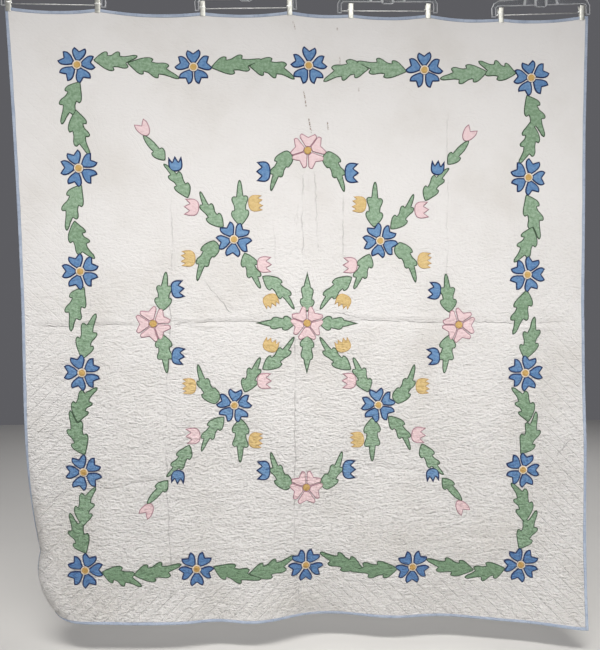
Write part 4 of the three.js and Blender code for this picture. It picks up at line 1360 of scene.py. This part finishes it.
def modelHook():
    look = hangerHook
    bpy.ops.mesh.primitive_circle_add(vertices=16, radius=look["wire"] * mm, fill_type="NGON",
                                      location=(0, 0, look["foot"] * mm))
    piece = newModel("hookModel")
    toMode("EDIT")
    selectAll()
    up = (0, 0, (look["bendFrom"] - look["foot"]) * mm)
    bpy.ops.mesh.extrude_region_move(TRANSFORM_OT_translate={"value": up})
    bend = math.radians(look["bend"])
    bendMiddle = (0, look["bendRadius"] * mm, look["bendFrom"] * mm)
    bpy.ops.mesh.spin(steps=7, angle=bend, center=bendMiddle, axis=(1, 0, 0))
    onward = Vector((0, math.sin(bend), math.cos(bend))) * look["straight"] * mm
    bpy.ops.mesh.extrude_region_move(TRANSFORM_OT_translate={"value": onward})
    bowlMiddle = (0, 0, look["bowlDrop"] * mm)
    bpy.ops.mesh.spin(steps=30, angle=-math.radians(look["bowl"]), center=bowlMiddle, axis=(1, 0, 0))
    selectAll()
    bpy.ops.mesh.remove_doubles(threshold=1e-6)
    bpy.ops.mesh.normals_make_consistent(inside=False)
    softenEdges(piece, look["soft"], 3, 60)
    return piece


def modelBar():
    look = hangerBar
    bpy.ops.mesh.primitive_cylinder_add(vertices=20, radius=look["radius"] * mm, depth=look["length"] * mm,
                                        location=(0, 0, -barDrop * mm), rotation=(0, math.pi / 2, 0))
    piece = newModel("barModel")
    softenEdges(piece, look["soft"], 2, 60)
    return piece


def modelJaw(which, outwards):
    look = clipJaw
    piece = copyOfNode(f"hanger_1_clip_left_{which}", f"{which}JawModel", clipPlace(1, 0))

    def isOuter(face):
        return face.normal.y * outwards > 0.8 and abs(face.center.y) > look["faceFrom"] * mm

    selectFaces(piece, isOuter)
    bpy.ops.mesh.inset(thickness=look["rim"] * mm, depth=look["rise"] * mm, use_even_offset=True)
    softenEdges(piece, look["soft"])
    return piece


def modelBand():
    look = clipBand
    middle = 0.5 * (look["low"] + look["high"]) - barDrop
    bpy.ops.mesh.primitive_cube_add(size=1.0, location=(0, 0, middle * mm))
    bpy.context.object.scale = (look["width"] * mm, look["depth"] * mm, (look["high"] - look["low"]) * mm)
    piece = newModel("bandModel")
    selectFaces(piece, lambda face: abs(face.normal.z) > facing)
    bpy.ops.mesh.delete(type="ONLY_FACE")
    toMode("OBJECT")
    wall = piece.modifiers.new("wall", "SOLIDIFY")
    wall.thickness = look["wall"] * mm
    wall.offset = 1
    wall.use_even_offset = True
    bpy.ops.object.modifier_apply(modifier=wall.name)
    softenEdges(piece, look["soft"])
    return piece


def clearPlastic(name, clear, dark, light, gloss):
    g = Graph(name)
    spot = g.spot()
    g.set("Base Color", g.mix(g.noise(spot, 40.0, 3.0), linear(dark), linear(light)))
    scratch = g.noise(g.stretched(spot, (60.0, 60.0, 900.0)), 1.0, 4.0)
    g.set("Roughness", g.span(scratch, 0.4, 0.8, *gloss))
    g.set("Transmission Weight", clear)
    g.set("IOR", 1.49)
    g.set("Normal", g.bump(g.noise(spot, 90.0, 2.0), 0.12, 0.0006))
    return g.material


def platedSteel(name, light, dark, grain):
    g = Graph(name)
    spot = g.spot()
    dull = g.span(g.noise(spot, 120.0, 4.0, 0.6), 0.35, 0.75)
    g.set("Base Color", g.mix(dull, linear(light), linear(dark)))
    brushed = g.noise(g.stretched(spot, grain), 1.0, 3.0)
    g.set("Roughness", g.span(brushed, 0.3, 0.7, 0.3, 0.5))
    g.set("Metallic", 1.0)
    g.set("Normal", g.bump(brushed, 0.15, 0.0003))
    return g.material


frameFinish = clearPlastic("clearPlastic", 1.0, (240, 243, 243), (250, 252, 252), (0.03, 0.16))
# painted highlight: pale, nearly opaque plastic stands in for the light lines the clear frame catches on its
# edges
paintedEdgeHighlight = clearPlastic("clearPlasticEdgeHighlight", 0.08, (172, 174, 178), (198, 200, 203), (0.4, 0.55))
clipFinish = platedSteel("platedSteel", (212, 212, 204), (180, 180, 172), (300.0, 300.0, 2600.0))
wireFinish = platedSteel("steelWire", (214, 214, 212), (172, 172, 170), (60.0, 2200.0, 2200.0))
frameModel, hookModel, barModel, bandModel = modelFrame(), modelHook(), modelBar(), modelBand()
jawModels = {"front": modelJaw("front", -1), "back": modelJaw("back", 1)}
toMode("OBJECT")


def setInPlace(model, name, place, finish, node=None):
    mesh = model.data.copy()
    mesh.name = name
    mesh.transform(place)
    if finish:
        mesh.materials.clear()
        mesh.materials.append(finish)
    piece = linked(name, mesh)
    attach(piece, "root")
    if node:
        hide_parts(node)
    return piece


hangerNumbers = range(1, len(hangerRows) + 1)
hands = ("left", "right")
for number in hangerNumbers:
    place = hangerPlace(number)
    node = f"hanger_{number}"
    setInPlace(frameModel, f"hangerFrame_{number}", place, None, f"{node}_frame")
    setInPlace(hookModel, f"hangerHook_{number}", place, wireFinish, f"{node}_hook")
    setInPlace(barModel, f"hangerBar_{number}", place, wireFinish, f"{node}_bar")
    for side, hand in enumerate(hands):
        place = clipPlace(number, side)
        for which, model in jawModels.items():
            end = f"{hand}_{which}"
            setInPlace(model, f"clipJaw_{number}_{end}", place, clipFinish, f"{node}_clip_{end}")
        setInPlace(bandModel, f"clipBand_{number}_{hand}", place, wireFinish)
for model in (frameModel, hookModel, barModel, bandModel, *jawModels.values()):
    bpy.data.objects.remove(model)
print("hangers hung:", len(hangerRows), "with", len(hangerRows) * len(hands), "clips")


# camera at the photograph's place

cameraView = {"place": (-0.2248, -3.213, -0.9641), "turn": 3.536, "roll": 0.181, "pitch": 4.634,
              "focal": 900 / 650}


def turnAbout(axis, degrees):
    return Matrix.Rotation(math.radians(degrees), 3, axis)


tilt = turnAbout("X", cameraView["pitch"]) @ turnAbout("Y", cameraView["roll"])
tilt = tilt @ turnAbout("Z", cameraView["turn"])
cameraData = bpy.data.cameras.new("camera")
cameraData.sensor_fit = "VERTICAL"
cameraData.angle = 2 * math.atan(0.5 / cameraView["focal"])
camera = linked("camera", cameraData)
basis = Matrix((tilt[0], tilt[2], -Vector(tilt[1]))).transposed()
camera.matrix_world = Matrix.Translation(cameraView["place"]) @ basis.to_4x4()
bpy.context.scene.camera = camera

# floor, light and the grey round about
studio = {"floor": -2.44, "floorSize": 9.0, "floorTones": ((206, 204, 200), (214, 212, 208)),
          "world": (0.11, 0.11, 0.12, 1.0), "worldStrength": 1.0}
lights = [  # name, place, aim, width, height, spread in degrees, power, colour
    ("keyLight", (-0.25, -2.5, 1.45), (0.05, 0.0, -1.87), 3.5, 0.7, 60, 27.2, (1.0, 0.985, 0.965)),
    ("fillLight", (1.0, -5.4, -0.8), (0.1, 0.0, -1.25), 2.6, 2.2, 180, 83, (1.0, 0.985, 0.97)),
    ("backLight", (0.6, 3.4, 0.9), (0.0, 0.0, -1.2), 2.4, 2.4, 180, 90, (1.0, 1.0, 1.0)),
]
for name, place, aim, width, height, spread, power, colour in lights:
    lamp = bpy.data.lights.new(name, "AREA")
    lamp.shape = "RECTANGLE"
    lamp.size = width
    lamp.size_y = height
    lamp.spread = math.radians(spread)
    lamp.energy = power
    lamp.color = colour
    holder = linked(name, lamp)
    holder.location = place
    holder.rotation_euler = (Vector(aim) - Vector(place)).to_track_quat("-Z", "Y").to_euler()
    holder.visible_transmission = False  # the clear frames show the room and not the lamps

bpy.ops.mesh.primitive_plane_add(size=studio["floorSize"], location=(0.0, 0.0, studio["floor"]))
floor = bpy.context.object
floor.name = "studioFloor"
g = Graph("paleFloor")
g.set("Base Color", g.mix(g.noise(g.spot(), 1.5), *map(linear, studio["floorTones"])))
g.set("Roughness", 0.9)
floor.data.materials.append(g.material)

world = bpy.data.worlds.new("studioGrey")
world.use_nodes = True
background = world.node_tree.nodes["Background"]
background.inputs["Color"].default_value = studio["world"]
background.inputs["Strength"].default_value = studio["worldStrength"]
bpy.context.scene.world = world
bpy.context.scene.view_settings.view_transform = "Standard"
